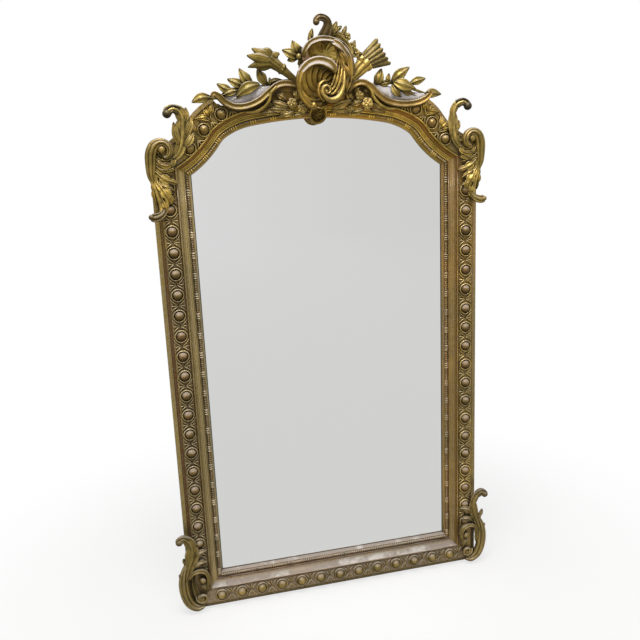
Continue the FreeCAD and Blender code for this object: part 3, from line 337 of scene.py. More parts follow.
WARM_BARREL = gilding("gilt_warm_barrel", rgb(146, 108, 50), 0.3, 0.1, 0.2, 0.04, grime_and_shade=0.6, reach=0.01)
EGG_GILT = gilding(
    "gilt_egg", rgb(140, 110, 66), 0.3, 0.75, 0.2, 0.08, ledge=0.05, film_tone=rgb(168, 150, 130),
    grime_and_shade=0.6, underside_shade=0.75)
TOP_EGG_GILT = gilding(
    "gilt_top_egg", rgb(172, 138, 74), 0.25, 0.5, 0.2, 0.06, ledge=0.1, film_tone=rgb(190, 168, 134),
    grime_and_shade=0.6, underside_shade=0.6)
SOCKET_GILT = gilding(
    "gilt_socket", rgb(190, 162, 88), 0.25, 0.3, ledge=0.3, film_tone=rgb(204, 184, 130),
    grime_and_shade=0.7, reach=0.012, underside_shade=0.75)
WARM_SOCKET = gilding(
    "gilt_warm_socket", rgb(214, 178, 80), 0.25, 0.3, ledge=0.3, film_tone=rgb(212, 186, 112),
    grime_and_shade=0.65, reach=0.012, underside_shade=0.7)
CARVED = gilding(
    "gilt_carving", rgb(204, 172, 86), 0.28, 0.4, 0.2, 0.02, vary=0.42, ledge=0.3, grime_and_shade=0.8, reach=0.02,
    underside_shade=0.4)
LAUREL_GILT = gilding(
    "gilt_laurel", rgb(166, 142, 72), 0.15, 0.5, 0.2, 0.1, vary=0.36, ledge=0.25,
    film_tone=rgb(178, 166, 134))
FOOT_CARVED = gilding("gilt_foot_carving", rgb(166, 141, 84), 0.2, 0.5, 0.2, 0.05, ledge=0.3, underside_shade=0.55)
RUBBED = gilding(
    "gilt_rubbed", rgb(168, 138, 72), 0.25, 0.9, 0.3, 0.08, ledge=-0.25, film_tone=rgb(192, 183, 176),
    underside_shade=0.6)
BAR_GILT = gilding(
    "gilt_bar", rgb(158, 126, 62), 0.35, 0.8, 0.3, 0.14, ledge=0.3, film_tone=rgb(194, 180, 162), underside_shade=0.5)
LEDGE_DUST = gilding(
    "dusty_ledge", rgb(150, 128, 84), 0.2, 1.0, 0.3, 0.2, ledge=-0.7, film_tone=rgb(206, 200, 198),
    grime_and_shade=0.3, underside_shade=0.2, bloom=1.0)
SHELL_GILT = gilding("gilt_shell", rgb(178, 144, 64), 0.45, 0.35, 0.2, vary=0.5, grime_and_shade=0.9, underside_shade=0.55)
HOOD_GILT = gilding(
    "gilt_hood", rgb(216, 186, 98), 0.3, 0.4, 0.2, vary=0.5, ledge=0.3, grime_and_shade=0.35, underside_shade=0.2)
VOLUTE_GILT = gilding(
    "gilt_volute", rgb(186, 156, 80), 0.28, 0.5, 0.2, 0.07, vary=0.42, ledge=0.3, grime_and_shade=0.8, reach=0.02,
    underside_shade=0.45)
LEAF_GILT = gilding(
    "gilt_leaf", rgb(202, 174, 98), 0.2, 0.55, 0.2, 0.04, vary=0.42, ledge=0.25,
    film_tone=rgb(188, 176, 144), grime_and_shade=0.75, reach=0.02, underside_shade=0.35)
FEATHER_GILT = gilding(
    "gilt_feather", rgb(128, 110, 62), 0.15, 0.5, 0.2, 0.2, vary=0.42, ledge=0.25, reach=0.03, underside_shade=0.5)
# Dark finish for the curled ends of the top leaves: painted shade.
TIP_SHADE = gilding(
    "gilt_tip_shade", rgb(78, 66, 38), 0.1, 0.4, 0.2, 0.16, ledge=0.3, film_tone=rgb(128, 118, 100), underside_shade=0.8)
GROUND_GILT = gilding(
    "gilt_ground", rgb(160, 126, 58), 0.35, 0.2, 0.2, 0.04, vary=0.4, grime_and_shade=0.5, underside_shade=0.2)
RED_LINE = gilding("gilt_red_line", rgb(148, 92, 32), 0.5, 0.1, 0.2, 0.0, LEVEL, grime_and_shade=0.4, underside_shade=0.0)
# Darker gilding for the torch and the right drop roll; on the roll it is painted shade.
DARK_GILT = gilding(
    "gilt_dark", rgb(146, 122, 60), 0.15, 0.55, 0.2, 0.14, vary=0.42, ledge=0.25, reach=0.03, underside_shade=0.5)
# Dark gilding for the plume; on the left drop roll, the bottom leaf tips and the wall inside the left bottom
# scroll it is painted shade.
DUSKY = gilding(
    "gilt_dusky", rgb(108, 88, 50), 0.2, 0.6, 0.2, 0.16, ledge=0.2, film_tone=rgb(150, 138, 122), underside_shade=0.7)
PINE = pine("pine_upright", rgb(150, 116, 78), (0, 0, 0))
PINE_RAIL = pine("pine_rail", rgb(142, 108, 72), (0, math.pi / 2, 0))
IRON = forged("forged_iron", rgb(58, 53, 50), 1.0)
STEEL = forged("screw_steel", rgb(112, 106, 98), 0.6)
MIRROR = silvered_glass()


def model(p):
    """Model point in metres from a front-view point."""
    return Vector((p[0], -(WALL_TO_GLASS + p[2]), p[1] + SILL)) * MM


def drawn(rows):
    """Rows whose x and z are read off a drawing of the front, set at their relief on the line to the eye."""
    placed = []
    for x, z, h, *rest in rows:
        near = 1 - h / EYE.z
        placed.append((EYE.x + (x - EYE.x) * near, EYE.y + (z - EYE.y) * near, h, *rest))
    return placed


def flipped(rows):
    """Right-hand rows from left-hand ones."""
    return [(-row[0],) + tuple(row[1:]) for row in rows]


def smooth(rows, share):
    """Values at a share of a row list, on a smooth curve through the rows."""
    last = len(rows) - 1
    far = min(max(share, 0), 1) * last
    i = min(int(far), last - 1)
    t = far - i
    four = [rows[max(i - 1, 0)], rows[i], rows[i + 1], rows[min(i + 2, last)]]
    return [b + 0.5 * t * (c - a + t * (2 * a - 5 * b + 4 * c - d + t * (3 * (b - c) + d - a)))
            for a, b, c, d in zip(*four)]


def axes(rows, share):
    """Point, direction, left and outward axes, and the further values at a share of a row path."""
    step = 0.02 / (len(rows) - 1)
    here = smooth(rows, share)
    ahead = Vector(smooth(rows, share + step)[:3]) - Vector(smooth(rows, share - step)[:3])
    ahead.normalize()
    left = Vector((0, 0, 1)).cross(ahead).normalized()
    return Vector(here[:3]), ahead, left, ahead.cross(left), here[3:]


def skin(bm, along, around, shape):
    """Grid laid on shape(u, v), with both shares from 0 to 1."""
    for vert in bmesh.ops.create_grid(bm, x_segments=along, y_segments=around, size=0.5)["verts"]:
        vert.co = shape(vert.co.x + 0.5, vert.co.y + 0.5)


def rounded(share, cap):
    """Fullness of a piece with round ends."""
    edge = min(share, 1 - share) / cap
    return math.sqrt(max(0, 1 - (1 - edge) ** 2)) if edge < 1 else 1


def round_section(angle):
    return math.cos(angle), math.sin(angle)


def ridged(count, depth):
    """Section of a band with rounded ridges on its face."""
    def section(angle):
        across = math.copysign(abs(math.cos(angle)) ** 0.75, math.cos(angle))
        if math.sin(angle) < 0:
            return across, -abs(math.sin(angle)) ** 0.7
        flute = 1 - depth * (0.5 - 0.5 * math.cos(math.pi * (count - 1) * (across + 1)))
        return across, abs(math.sin(angle)) ** 0.5 * flute
    return section


TWO_RIDGES = ridged(2, 0.5)
THREE_RIDGES = ridged(3, 0.42)


def fluted_section(angle):
    """Round body with flutes along it."""
    size = 1 - 0.14 * abs(math.sin(5 * angle))
    return size * math.cos(angle), size * math.sin(angle)


STRAND_STEPS = 26


def strands(bm, rows, count, along=60):
    """Limb of rounded strands side by side along rows of x, z, h, half-width, half-depth."""
    spread = 0.64
    for k in range(count):
        t = 2 * k / (count - 1) - 1
        path = []
        for i in range(STRAND_STEPS + 1):
            point, ahead, left, out, (width, depth) = axes(rows, i / STRAND_STEPS)
            point = point + left * (width * spread * t) - out * (depth * 0.35 * t * t)
            path.append((*point, 1.5 * spread / (count - 1) * width, depth * (1 - 0.15 * abs(t))))
        bar(bm, path, round_section, along, 16)


def bar(bm, rows, section=TWO_RIDGES, along=70, around=32, cap=0.03):
    """Scroll bar along rows of x, z, h, half-width, half-depth."""
    def shape(u, v):
        u = (1 - math.cos(math.pi * u)) / 2
        point, ahead, left, out, (width, depth) = axes(rows, u)
        i, j = section(2 * math.pi * v)
        full = rounded(u, cap)
        return model(point + left * (width * i * full) + out * (depth * j * full))
    skin(bm, along, around, shape)


def leaf(bm, rows, lobes=0, notch=0.4, rib=1.8, cup=3.0, thick=3.0, along=34, around=28):
    """Carved leaf along rows of x, z, h, half-width: rib down the middle, hollow sides, lobed edges."""
    def shape(u, v):
        side = 4 * v - 1 if v <= 0.5 else 3 - 4 * v
        point, ahead, left, out, (width,) = axes(rows, u)
        full = rounded(u, 0.12)
        wave = abs(math.sin(math.pi * lobes * u)) ** 0.6 if lobes else 1
        half = width * full * (1 - notch * (1 - wave))
        swell = rib * math.exp(-(side / 0.16) ** 2) - cup * math.sin(math.pi * abs(side)) ** 2
        swell += 1.2 * notch * (wave - 0.6) * thick * abs(side) if lobes else 0
        body = thick * (1 - side ** 2) ** 0.5
        rise = (swell + body if v <= 0.5 else swell - 0.6 * body) * full
        lean = ahead * (0.45 * width * notch * side ** 2 * full if lobes else 0)
        return model(point + left * (half * side) + out * rise + lean)
    skin(bm, along, around, shape)


def acanthus(bm, rows, lobes, slim=1.0):
    """Broad lobed leaf with a raised rib, along rows of x, z, h, half-width, half-depth."""
    blade = [(x, z, h, 1.25 * width * slim) for x, z, h, width, depth in rows]
    leaf(bm, blade, lobes, 0.3, 0.0, 5.0, 7.5, 80, 44)
    rib = [(x, z, h + 0.3 * depth, 0.24 * width + 1.2, 0.5 * depth) for x, z, h, width, depth in rows]
    bar(bm, rib, round_section, 70, 16)


def ball(bm, p, radius, squash=1.0):
    """Round bead centred on a front-view point."""
    size = Matrix.Diagonal((radius * MM, radius * squash * MM, radius * MM, 1))
    place = Matrix.Translation(model(p)) @ size
    bmesh.ops.create_uvsphere(bm, u_segments=24, v_segments=14, radius=1, matrix=place)


def balls(bm, put, rows):
    """Beads from rows of x, z, h, radius and, where one is flat, its squash."""
    for x, z, h, *size in put(rows):
        ball(bm, (x, z, h), *size)


def leaves(bm, put, many, **kind):
    """Leaves of one kind."""
    for rows in many:
        leaf(bm, put(rows), **kind)


PETAL = ((0.1, 0.05, 0.16), (0.45, 0.25, 0.42), (0.8, 0.3, 0.46), (1.05, 0.1, 0.2))


def flower(bm, p, radius, petals=5, turn=0.0):
    """Open flower: cupped petals round a bead."""
    x, z, h = p
    for i in range(petals):
        angle = turn + 2 * math.pi * i / petals
        across, up = radius * math.cos(angle), radius * math.sin(angle)
        rows = [(x + across * far, z + up * far, h + radius * lift, radius * wide)
                for far, lift, wide in PETAL]
        leaf(bm, rows, cup=0.08 * radius, rib=0.05 * radius, thick=0.12 * radius, along=12, around=16)
    ball(bm, (x, z, h + 0.28 * radius), 0.3 * radius)


def dish(bm, p, radii, depth, thick, flutes, swirl, flute_depth):
    """Hollow shell round a point: radii at equal angles, rim in front, flutes that swirl to the middle."""
    x, z, h = p
    count = len(radii)

    def shape(u, v):
        angle = 2 * math.pi * u
        far = u * count
        i = int(far) % count
        share = (1 - math.cos(math.pi * (far - int(far)))) / 2
        reach = radii[i] * (1 - share) + radii[(i + 1) % count] * share
        out = 2 * v if v <= 0.5 else 2 - 2 * v
        flute = flute_depth * math.cos(flutes * (angle + swirl * out))
        ridge = flute * math.sin(math.pi * out) * min(1, 2.5 * out)
        rise = depth * out ** 2 + (ridge if v <= 0.5 else -thick * (1 - out ** 4))
        return model((x + reach * out * math.cos(angle), z + reach * out * math.sin(angle), h + rise))
    skin(bm, 120, 60, shape)


@contextmanager
def piece(name, material, *stands_for, slot="gilt_carving"):
    """Mesh to shape, which becomes a closed, smooth piece on the frame body and stands for CAD nodes."""
    bm = bmesh.new()
    yield bm
    bmesh.ops.remove_doubles(bm, verts=bm.verts, dist=2e-6)
    bmesh.ops.dissolve_degenerate(bm, edges=bm.edges, dist=1e-6)
    bmesh.ops.recalc_face_normals(bm, faces=bm.faces)
    for face in bm.faces:
        face.smooth = True
    mesh = bpy.data.meshes.new(name)
    bm.to_mesh(mesh)
    bm.free()
    mesh.materials.append(material)
    thing = bpy.data.objects.new(name, mesh)
    bpy.context.scene.collection.objects.link(thing)
    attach(thing, "frame")
    if stands_for:
        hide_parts(*stands_for)


# Arcs beside the crown of the arch: radius, first and last slope in degrees.
FLANKS = ((197.0, 10.0, 33.6), (57.0, 33.6, 55.0), (-314.0, 55.0, 32.0))


def arch_arcs():
    """Arcs of the right half of the arch from the crown: centre, radius, first and last slope."""
    steps = [(radius, math.radians(a), math.radians(b)) for radius, a, b in FLANKS]
    side = sum(radius * (math.sin(b) - math.sin(a)) for radius, a, b in steps)
    crown = steps[0][1]
    steps.insert(0, ((SIGHT_HALF - side) / math.sin(crown), 0.0, crown))
    drop = sum(radius * (math.cos(a) - math.cos(b)) for radius, a, b in steps)
    point = Vector((0, SHOULDER_RISE + drop))
    arcs = []
    for radius, a, b in steps:
        centre = point - Vector((math.sin(a), math.cos(a))) * radius
        arcs.append((centre, radius, a, b))
        point = centre + Vector((math.sin(b), math.cos(b))) * radius
    return arcs


ARCS = arch_arcs()


def arch_length(out):
    """Length of half the arch at a distance out from the sight edge."""
    return sum((b - a) * (radius + out) for _, radius, a, b in ARCS)


def on_arch(along, out):
    """Front-view place (x, z) on the top rail at a distance from the crown, measured at that distance out."""
    left = abs(along)
    for centre, radius, a, b in ARCS:
        if left <= (b - a) * (radius + out) or radius < 0:
            break
        left -= (b - a) * (radius + out)
    slope = a + left / (radius + out)
    point = centre + Vector((math.sin(slope), math.cos(slope))) * (radius + out)
    return math.copysign(point.x, along), point.y, math.copysign(slope, along)


def stile_place(side):
    """Place function of a stile: along runs up, out goes away from the glass, rise comes forward."""
    def place(along, out, rise, base_out, base):
        return side * (SIGHT_HALF + base_out + out), along, base + rise
    return place


def bottom_place(along, out, rise, base_out, base):
    return -along, -(base_out + out), base + rise


def top_place(side):
    def place(along, out, rise, base_out, base):
        x, z, slope = on_arch(side * along, base_out)
        return x + out * math.sin(slope), z + out * math.cos(slope), base + rise
    return place


REEL = 6.8
REEL_HALF = 6.0
BARREL_RINGS = 6
RING_HALF = 4.8
RING_LAP = 0.8
SHOULDER_MITRE = math.tan(math.radians(29))


def bead(bm, place, first, last, size):
    """One turned bead of the strip, between two places along it."""
    def shape(u, v):
        angle = 2 * math.pi * v
        full = size * (1 - abs(2 * u - 1) ** 4) ** 0.6
        rise = full * math.sin(angle) * (1.25 if math.sin(angle) > 0 else 0.2)
        return model(place(first + (last - first) * u, math.cos(angle) * full, rise, BEAD_OUT, BEAD_H))
    skin(bm, 8, 12, shape)


def bead_run(side, place, start, length, reel_finish, barrel_finish):
    """Strip next to the glass: groups of three large reels between ringed barrels."""
    units = round(length / RUN_UNIT)
    pitch = length / units
    ring = (pitch - 3 * REEL) / BARREL_RINGS
    node = "sight_strip_" + side
    with (piece("barrels_" + side, barrel_finish, node, slot="gilt_moulding") as barrels,
          piece("reels_" + side, reel_finish, node, slot="gilt_moulding") as reels):
        for i in range(units):
            unit = start + i * pitch
            for j in range(3):
                bead(reels, place, unit + j * REEL, unit + (j + 1) * REEL, REEL_HALF)
            for j in range(BARREL_RINGS):
                first = unit + 3 * REEL + j * ring
                bead(barrels, place, first - RING_LAP, first + ring + RING_LAP, RING_HALF)


# Burnished lines: distance out, height, half-width.
EDGE_LINES = ((19.5, 16.6, 1.8), (41.0, 36.4, 2.2))
HOLLOW_LINES = ((26.0, 17.2, 1.3), (31.0, 19.8, 1.3), (35.0, 23.8, 1.4))
TOP_LINES = ((19.5, 16.6, 2.6), (24.4, 16.8, 1.8), (29.2, 18.3, 2.2), (41.0, 36.2, 2.0))
TOP_RED_LINES = ((33.4, 20.8, 2.2), (37.4, 26.4, 2.2))


def line_run(side, place, ends, steps, finish, lines):
    """Burnished lines along fillet, hollow and astragal, between the two ends at each distance out."""
    with piece("gilt_lines_" + side, finish, slot="gilt_moulding") as bm:
        for out, rise, half in lines:
            first, last = ends(out)

            def shape(u, v):
                angle = 2 * math.pi * v
                full = half if 0 < u < 1 else 0
                along = first + (last - first) * u
                return model(place(along, full * math.cos(angle), full * math.sin(angle), out, rise))
            skin(bm, steps, 10, shape)


EGG = 14.0
EGG_RISE = 15.5
SOCKET = 17.3
SOCKET_HALF = 2.3
# Blades between two eggs: steps, then start, bow and end along the run, reach to the side, half-width and
# height.
BLADES = (
    (16, -29, -25, -8, 22, 2.6, 6.5), (16, -32, -35, -50, 22, 2.6, 5.5),
    (10, -30.5, -30.5, -30.5, 21, 2.2, 4))


def egg_unit(eggs, sockets, place, middle, bed_out):
    """Egg in a round socket, and pairs of leaf blades that spread from the middle line before it."""
    def put(s, o, r):
        return model(place(middle + s, o, r + o * BED_TILT, bed_out, BED_H))

    def egg(u, v):
        tilt = math.pi * (u - 0.5)
        wide = EGG * math.cos(tilt)
        rise = math.sin(tilt) * (EGG_RISE if tilt > 0 else 3)
        return put(wide * math.sin(2 * math.pi * v), wide * math.cos(2 * math.pi * v), rise)

    def socket(u, v):
        angle = 2 * math.pi * u
        reach = SOCKET + SOCKET_HALF * math.cos(2 * math.pi * v)
        side = math.sin(2 * math.pi * v)
        return put(reach * math.sin(angle), reach * math.cos(angle), 1 + side * (7 if side > 0 else 1))

    def blade(hand, first, bend, last, reach, half, height):
        """Leaf blade from the middle line out to one side, bowed along the run."""
        def shape(u, v):
            full = math.sin(math.pi * u) ** 0.6 if 0 < u < 1 else 0
            side = math.sin(2 * math.pi * v)
            s = first * (1 - u) ** 2 + 2 * bend * u * (1 - u) + last * u * u
            s += half * full * math.cos(2 * math.pi * v)
            return put(s, hand * (0.5 + reach * u), 1 + full * side * (height if side > 0 else 1))
        return shape
    skin(eggs, 14, 22, egg)
    skin(sockets, 30, 10, socket)
    for hand in (-1, 1):
        for steps, *sizes in BLADES:
            skin(sockets, steps, 8, blade(hand, *sizes))


def egg_run(side, place, middles, egg_finish, socket_finish, node, bed_out=BED_OUT):
    """Run of eggs in their sockets, with more leaves on the shoulders."""
    with (piece("egg_sockets_" + side, socket_finish, node, slot="gilt_moulding") as sockets,
          piece("eggs_" + side, egg_finish, node, slot="gilt_moulding") as eggs):
        for middle in middles:
            egg_unit(eggs, sockets, place, middle, bed_out)
        if node == "egg_run_top":
            shoulder_leaves(sockets, place, middles)


def shoulder_leaves(bm, place, middles):
    """Leaves that spread from between the shoulder eggs to the outer edge of the rail."""
    for middle in middles:
        for lean in (-9, 0, 9):
            rows = []
            for far, lift, half in ((0, 2, 4), (1, 9, 8), (2.6, 5, 2)):
                s = middle + RUN_UNIT / 2 + lean * (0.4 + far)
                rows.append((*place(s, 14 + 9 * far, lift, SHOULDER_EGG_OUT, BED_H), half))
            leaf(bm, rows)


def stile_ends(out):
    return -out, SHOULDER_RISE + SHOULDER_MITRE * out


def bottom_ends(out):
    return -SIGHT_HALF - out, SIGHT_HALF + out


def top_ends(out):
    half = arch_length(out) + SHOULDER_MITRE * out
    return -half, half


LEFT_EGGS = [1150 - 60.4 * i for i in range(-1, 19)]
RIGHT_EGGS = [1161.5 - 61.8 * i for i in range(19)]
BOTTOM_EGGS = [65.0 * i for i in range(-6, 7)]
SHOULDER_EGGS = [arch_length(SHOULDER_EGG_OUT) - far for far in (40, 105, 170)]


def runs():
    """Beads, burnished lines and eggs on the four sides."""
    low, high = stile_ends(BEAD_OUT - REEL_HALF)
    stile_lines = EDGE_LINES + HOLLOW_LINES
    bead_run("left", stile_place(-1), low, high - low, REEL_GILT, BARREL_GILT)
    line_run("left", stile_place(-1), stile_ends, 12, LINE_GILT, stile_lines)
    bead_run("right", stile_place(1), low, high - low, WARM_REEL, WARM_BARREL)
    line_run("right", stile_place(1), stile_ends, 12, WARM_LINE, stile_lines)
    low, high = bottom_ends(BEAD_OUT - REEL_HALF)
    bead_run("bottom", bottom_place, low, high - low, FOOT_BEAD_GILT, FOOT_BEAD_GILT)
    line_run("bottom", bottom_place, bottom_ends, 12, FOOT_BEAD_GILT, EDGE_LINES)
    low, high = top_ends(BEAD_OUT)
    bead_run("top", top_place(1), low, high - low, BRIGHT_GILT, TOP_BEAD_GILT)
    line_run("top", top_place(1), top_ends, 220, BRIGHT_GILT, TOP_LINES)
    line_run("top_red", top_place(1), top_ends, 220, RED_LINE, TOP_RED_LINES)
    egg_run("left", stile_place(-1), LEFT_EGGS, EGG_GILT, SOCKET_GILT, "egg_run_left")
    egg_run("right", stile_place(1), RIGHT_EGGS, EGG_GILT, WARM_SOCKET, "egg_run_right")
    egg_run("bottom", bottom_place, BOTTOM_EGGS, FOOT_EGG_GILT, FOOT_EGG_GILT, "egg_run_bottom")
    for side, hand in (("top_left", -1), ("top_right", 1)):
        egg_run(
            side, top_place(hand), SHOULDER_EGGS, TOP_EGG_GILT, WARM_SOCKET, "egg_run_top", SHOULDER_EGG_OUT)


# Scroll rows are x, z, h, half-width, half-depth. Leaf rows are x, z, h, half-width.
TOP_VOLUTE = [
    (-483, 1222, 46, 5, 6), (-488, 1245, 50, 10, 10), (-487, 1275, 54, 13, 12), (-484, 1305, 58, 14, 13),
    (-473, 1328, 62, 13, 14), (-455, 1337, 64, 10, 13), (-438, 1330, 65, 9, 12), (-431, 1313, 66, 8, 11),
    (-438, 1298, 66, 6, 9), (-450, 1294, 66, 4, 7)]
TOP_EYE = [(-453, 1317, 62, 11.5)]
TOP_LEAF_END = [(-431, 1412, 77, 12)]
TOP_CURLS = [
    [(-474, 1306, 44, 8.5), (-462, 1292, 46, 15.3), (-444, 1286, 47, 17), (-424, 1292, 45, 10.2)],
    [(-472, 1296, 48, 5.1), (-464, 1280, 52, 8.5), (-446, 1272, 54, 10.2), (-428, 1277, 52, 8.5),
     (-420, 1290, 48, 5.1)],
    [(-478, 1278, 46, 5.1), (-462, 1264, 50, 8.5), (-440, 1260, 50, 8.5), (-424, 1266, 46, 5.1)]]
TOP_LEAF = [
    (-440, 1290, 46, 5, 6), (-418, 1296, 48, 9, 9), (-402, 1318, 52, 14, 10), (-394, 1350, 56, 18, 11),
    (-391, 1378, 60, 17, 11), (-390, 1400, 65, 14, 11), (-398, 1418, 71, 12, 10), (-414, 1425, 75, 11, 10),
    (-428, 1418, 77, 10, 9), (-432, 1408, 77, 7, 7)]
TOP_LEAFLETS = [
    [(-404, 1330, 58, 6), (-412, 1358, 66, 10), (-415, 1390, 64, 2)],
    [(-390, 1322, 54, 6), (-373, 1340, 62, 10), (-362, 1362, 56, 2)],
    [(-384, 1352, 58, 6), (-371, 1378, 66, 10), (-367, 1402, 60, 2)],
    [(-388, 1384, 62, 6), (-379, 1406, 70, 9), (-379, 1428, 70, 2)]]
TOP_NUB = [(-402, 1338, 56, 5), (-409, 1354, 60, 7), (-412, 1371, 58, 2)]
DROP_STEM = [
    (-486, 1262, 48, 7, 8), (-481, 1235, 48, 8, 9), (-473, 1205, 47, 8, 9), (-466, 1178, 46, 8, 8),
    (-461, 1155, 46, 8, 8), (-463, 1142, 49, 8, 8)]
DROP_ROLL = [
    (-458, 1152, 46, 6, 7), (-464, 1141, 49, 9, 9), (-474, 1133, 52, 11, 11), (-487, 1129, 54, 12, 12),
    (-498, 1131, 55, 11, 11)]
DROP_END = [(-498, 1131, 58, 8)]
DROP_LEAFLETS = [
    [(-486, 1288, 46, 5), (-462, 1262, 52, 11), (-428, 1247, 42, 3)],
    [(-482, 1264, 46, 6), (-452, 1236, 54, 13), (-415, 1222, 42, 3)],
    [(-478, 1236, 46, 6), (-460, 1208, 56, 14), (-448, 1188, 58, 15), (-438, 1163, 45, 3)],
    [(-468, 1190, 46, 5), (-457, 1164, 53, 10), (-453, 1140, 45, 3)],
    [(-472, 1220, 48, 4), (-450, 1214, 55, 9), (-428, 1200, 45, 2)],
    [(-464, 1196, 48, 4), (-444, 1184, 54, 8), (-428, 1176, 45, 2)],
    [(-487, 1228, 42, 4), (-485, 1195, 46, 8), (-480, 1160, 40, 2)]]
BOTTOM_SCROLL = [
    (-487, 40, 42, 5, 6), (-496, 18, 46, 9, 9), (-503, -8, 48, 12, 11), (-505, -36, 49, 14, 12),
    (-503, -66, 49, 14, 12), (-496, -92, 49, 14, 12), (-484, -112, 48, 13, 12), (-465, -123, 47, 11, 11),
    (-445, -118, 45, 6, 8)]
BOTTOM_LEAF = [
    (-500, -34, 50, 5, 6), (-493, -4, 50, 9, 9), (-483, 24, 50, 14, 10), (-474, 50, 50, 18, 11),
    (-469, 76, 51, 18, 11), (-472, 100, 54, 15, 11), (-481, 118, 57, 12, 10), (-494, 127, 60, 11, 10),
    (-506, 120, 62, 10, 9), (-507, 110, 62, 7, 7)]
BOTTOM_LEAFLETS = [
    [(-466, 50, 46, 6), (-447, 68, 54, 11), (-425, 78, 42, 2)],
    [(-472, 18, 46, 6), (-450, 33, 53, 10), (-426, 38, 42, 2)],
    [(-498, -20, 46, 5), (-508, -8, 48, 8), (-517, 5, 46, 2)],
    [(-447, -40, 46, 6), (-438, -56, 50, 9), (-432, -71, 42, 2)]]
BOTTOM_TIPS = {
    "left": [(-484, 22, 44, 5), (-493, 42, 47, 9), (-500, 58, 44, 2)],
    "right": [(-480, 16, 46, 5), (-496, 38, 49, 10), (-508, 60, 46, 2)]}
BOTTOM_LEAF_END = [(-507, 116, 62, 11)]
BOTTOM_BALLS = [(-443, -28, 48, 11), (-452, -93, 42, 17, 0.6)]
BOTTOM_VOLUTE = [
    (-488, -16, 46, 5, 7), (-472, 3, 50, 6, 9), (-452, 8, 52, 7, 10), (-434, 0, 53, 6, 10),
    (-426, -18, 52, 6, 9), (-428, -38, 48, 5, 8), (-432, -56, 44, 4, 6)]
BOTTOM_CURL = [
    (-470, -84, 44, 3, 4), (-466, -98, 47, 4, 6), (-452, -107, 49, 4, 6), (-438, -99, 50, 4, 6),
    (-438, -86, 51, 4, 6), (-449, -81, 52, 4, 6), (-457, -90, 52, 3, 5), (-452, -95, 52, 3, 5)]
BOTTOM_HOLLOW = [
    (-476, -8, 44, 4), (-478, -34, 42, 12), (-475, -64, 42, 16), (-468, -90, 43, 14), (-458, -104, 44, 4)]
BOTTOM_FOLD = [
    (-480, 14, 42, 5), (-487, -8, 44, 10), (-489, -30, 44, 11), (-488, -50, 44, 8), (-489, -68, 43, 2)]
RIGHT_SLIM = 0.72


def corners():
    """Scrolls and leaves of the four corners."""
    for side, hand, slim in (("left", list, 1.0), ("right", flipped, RIGHT_SLIM)):
        def on(rows):
            return hand(drawn(rows))

        with piece("volute_top_" + side, VOLUTE_GILT, "top_volute_" + side) as bm:
            strands(bm, on(TOP_VOLUTE), 3)
            balls(bm, on, TOP_EYE)
        with piece("leaf_top_" + side, LEAF_GILT, "top_leaf_" + side) as bm:
            acanthus(bm, on(TOP_LEAF), 4, slim)
            leaves(bm, on, TOP_LEAFLETS if side == "left" else [TOP_NUB])
        # Dark curl ends of the top leaf: painted shade.
        with piece("leaf_tip_top_" + side, TIP_SHADE, "top_leaf_" + side) as bm:
            balls(bm, on, TOP_LEAF_END)
            bar(bm, on(TOP_LEAF[-4:]), TWO_RIDGES, along=40)
        with piece("leaf_drop_" + side, CARVED, "drop_leaf_" + side) as bm:
            strands(bm, on(DROP_STEM), 2)
            leaves(bm, on, TOP_CURLS, lobes=3, notch=0.35, cup=3.0, thick=6.0, along=48)
            leaves(bm, on, DROP_LEAFLETS, lobes=3, notch=0.4, cup=4.0, thick=4.5, along=48)
        # Rolled end of the drop in a dark finish: painted shade.
        with piece("leaf_roll_drop_" + side, DUSKY if side == "left" else DARK_GILT, "drop_leaf_" + side) as bm:
            bar(bm, on(DROP_ROLL), THREE_RIDGES, along=50)
            balls(bm, on, DROP_END)
        with piece("scroll_bottom_" + side, FOOT_CARVED, "bottom_scroll_" + side) as bm:
            strands(bm, on(BOTTOM_SCROLL), 3)
        with piece("leaf_bottom_" + side, FOOT_CARVED, "bottom_leaf_" + side) as bm:
            acanthus(bm, on(BOTTOM_LEAF), 4, slim)
            leaves(bm, on, BOTTOM_LEAFLETS + [BOTTOM_TIPS[side]], lobes=2, notch=0.3, cup=4.0, thick=4.5)
        # Curl ends of the bottom leaf in a dark finish: painted shade.
        with piece("leaf_tip_bottom_" + side, DUSKY, "bottom_leaf_" + side) as bm:
            balls(bm, on, BOTTOM_LEAF_END)
            bar(bm, on(BOTTOM_LEAF[-4:]), TWO_RIDGES, along=40)
        with piece("volute_bottom_" + side, FOOT_CARVED, "bottom_volute_" + side) as bm:
            bar(bm, on(BOTTOM_VOLUTE), TWO_RIDGES)
            bar(bm, on(BOTTOM_CURL), round_section, along=40, around=16)
            balls(bm, on, BOTTOM_BALLS)
    # Wall inside the left bottom scroll in a dark finish: painted shade in its hollow.
    with piece("scroll_wall_left", DUSKY, "bottom_scroll_left") as bm:
        leaf(bm, drawn(BOTTOM_HOLLOW), rib=0.0, cup=6.0, thick=4.0)
    with piece("scroll_fold_right", FOOT_CARVED, "bottom_scroll_right") as bm:
        leaf(bm, flipped(drawn(BOTTOM_FOLD)), lobes=2, notch=0.3, cup=4.0, thick=5.0)


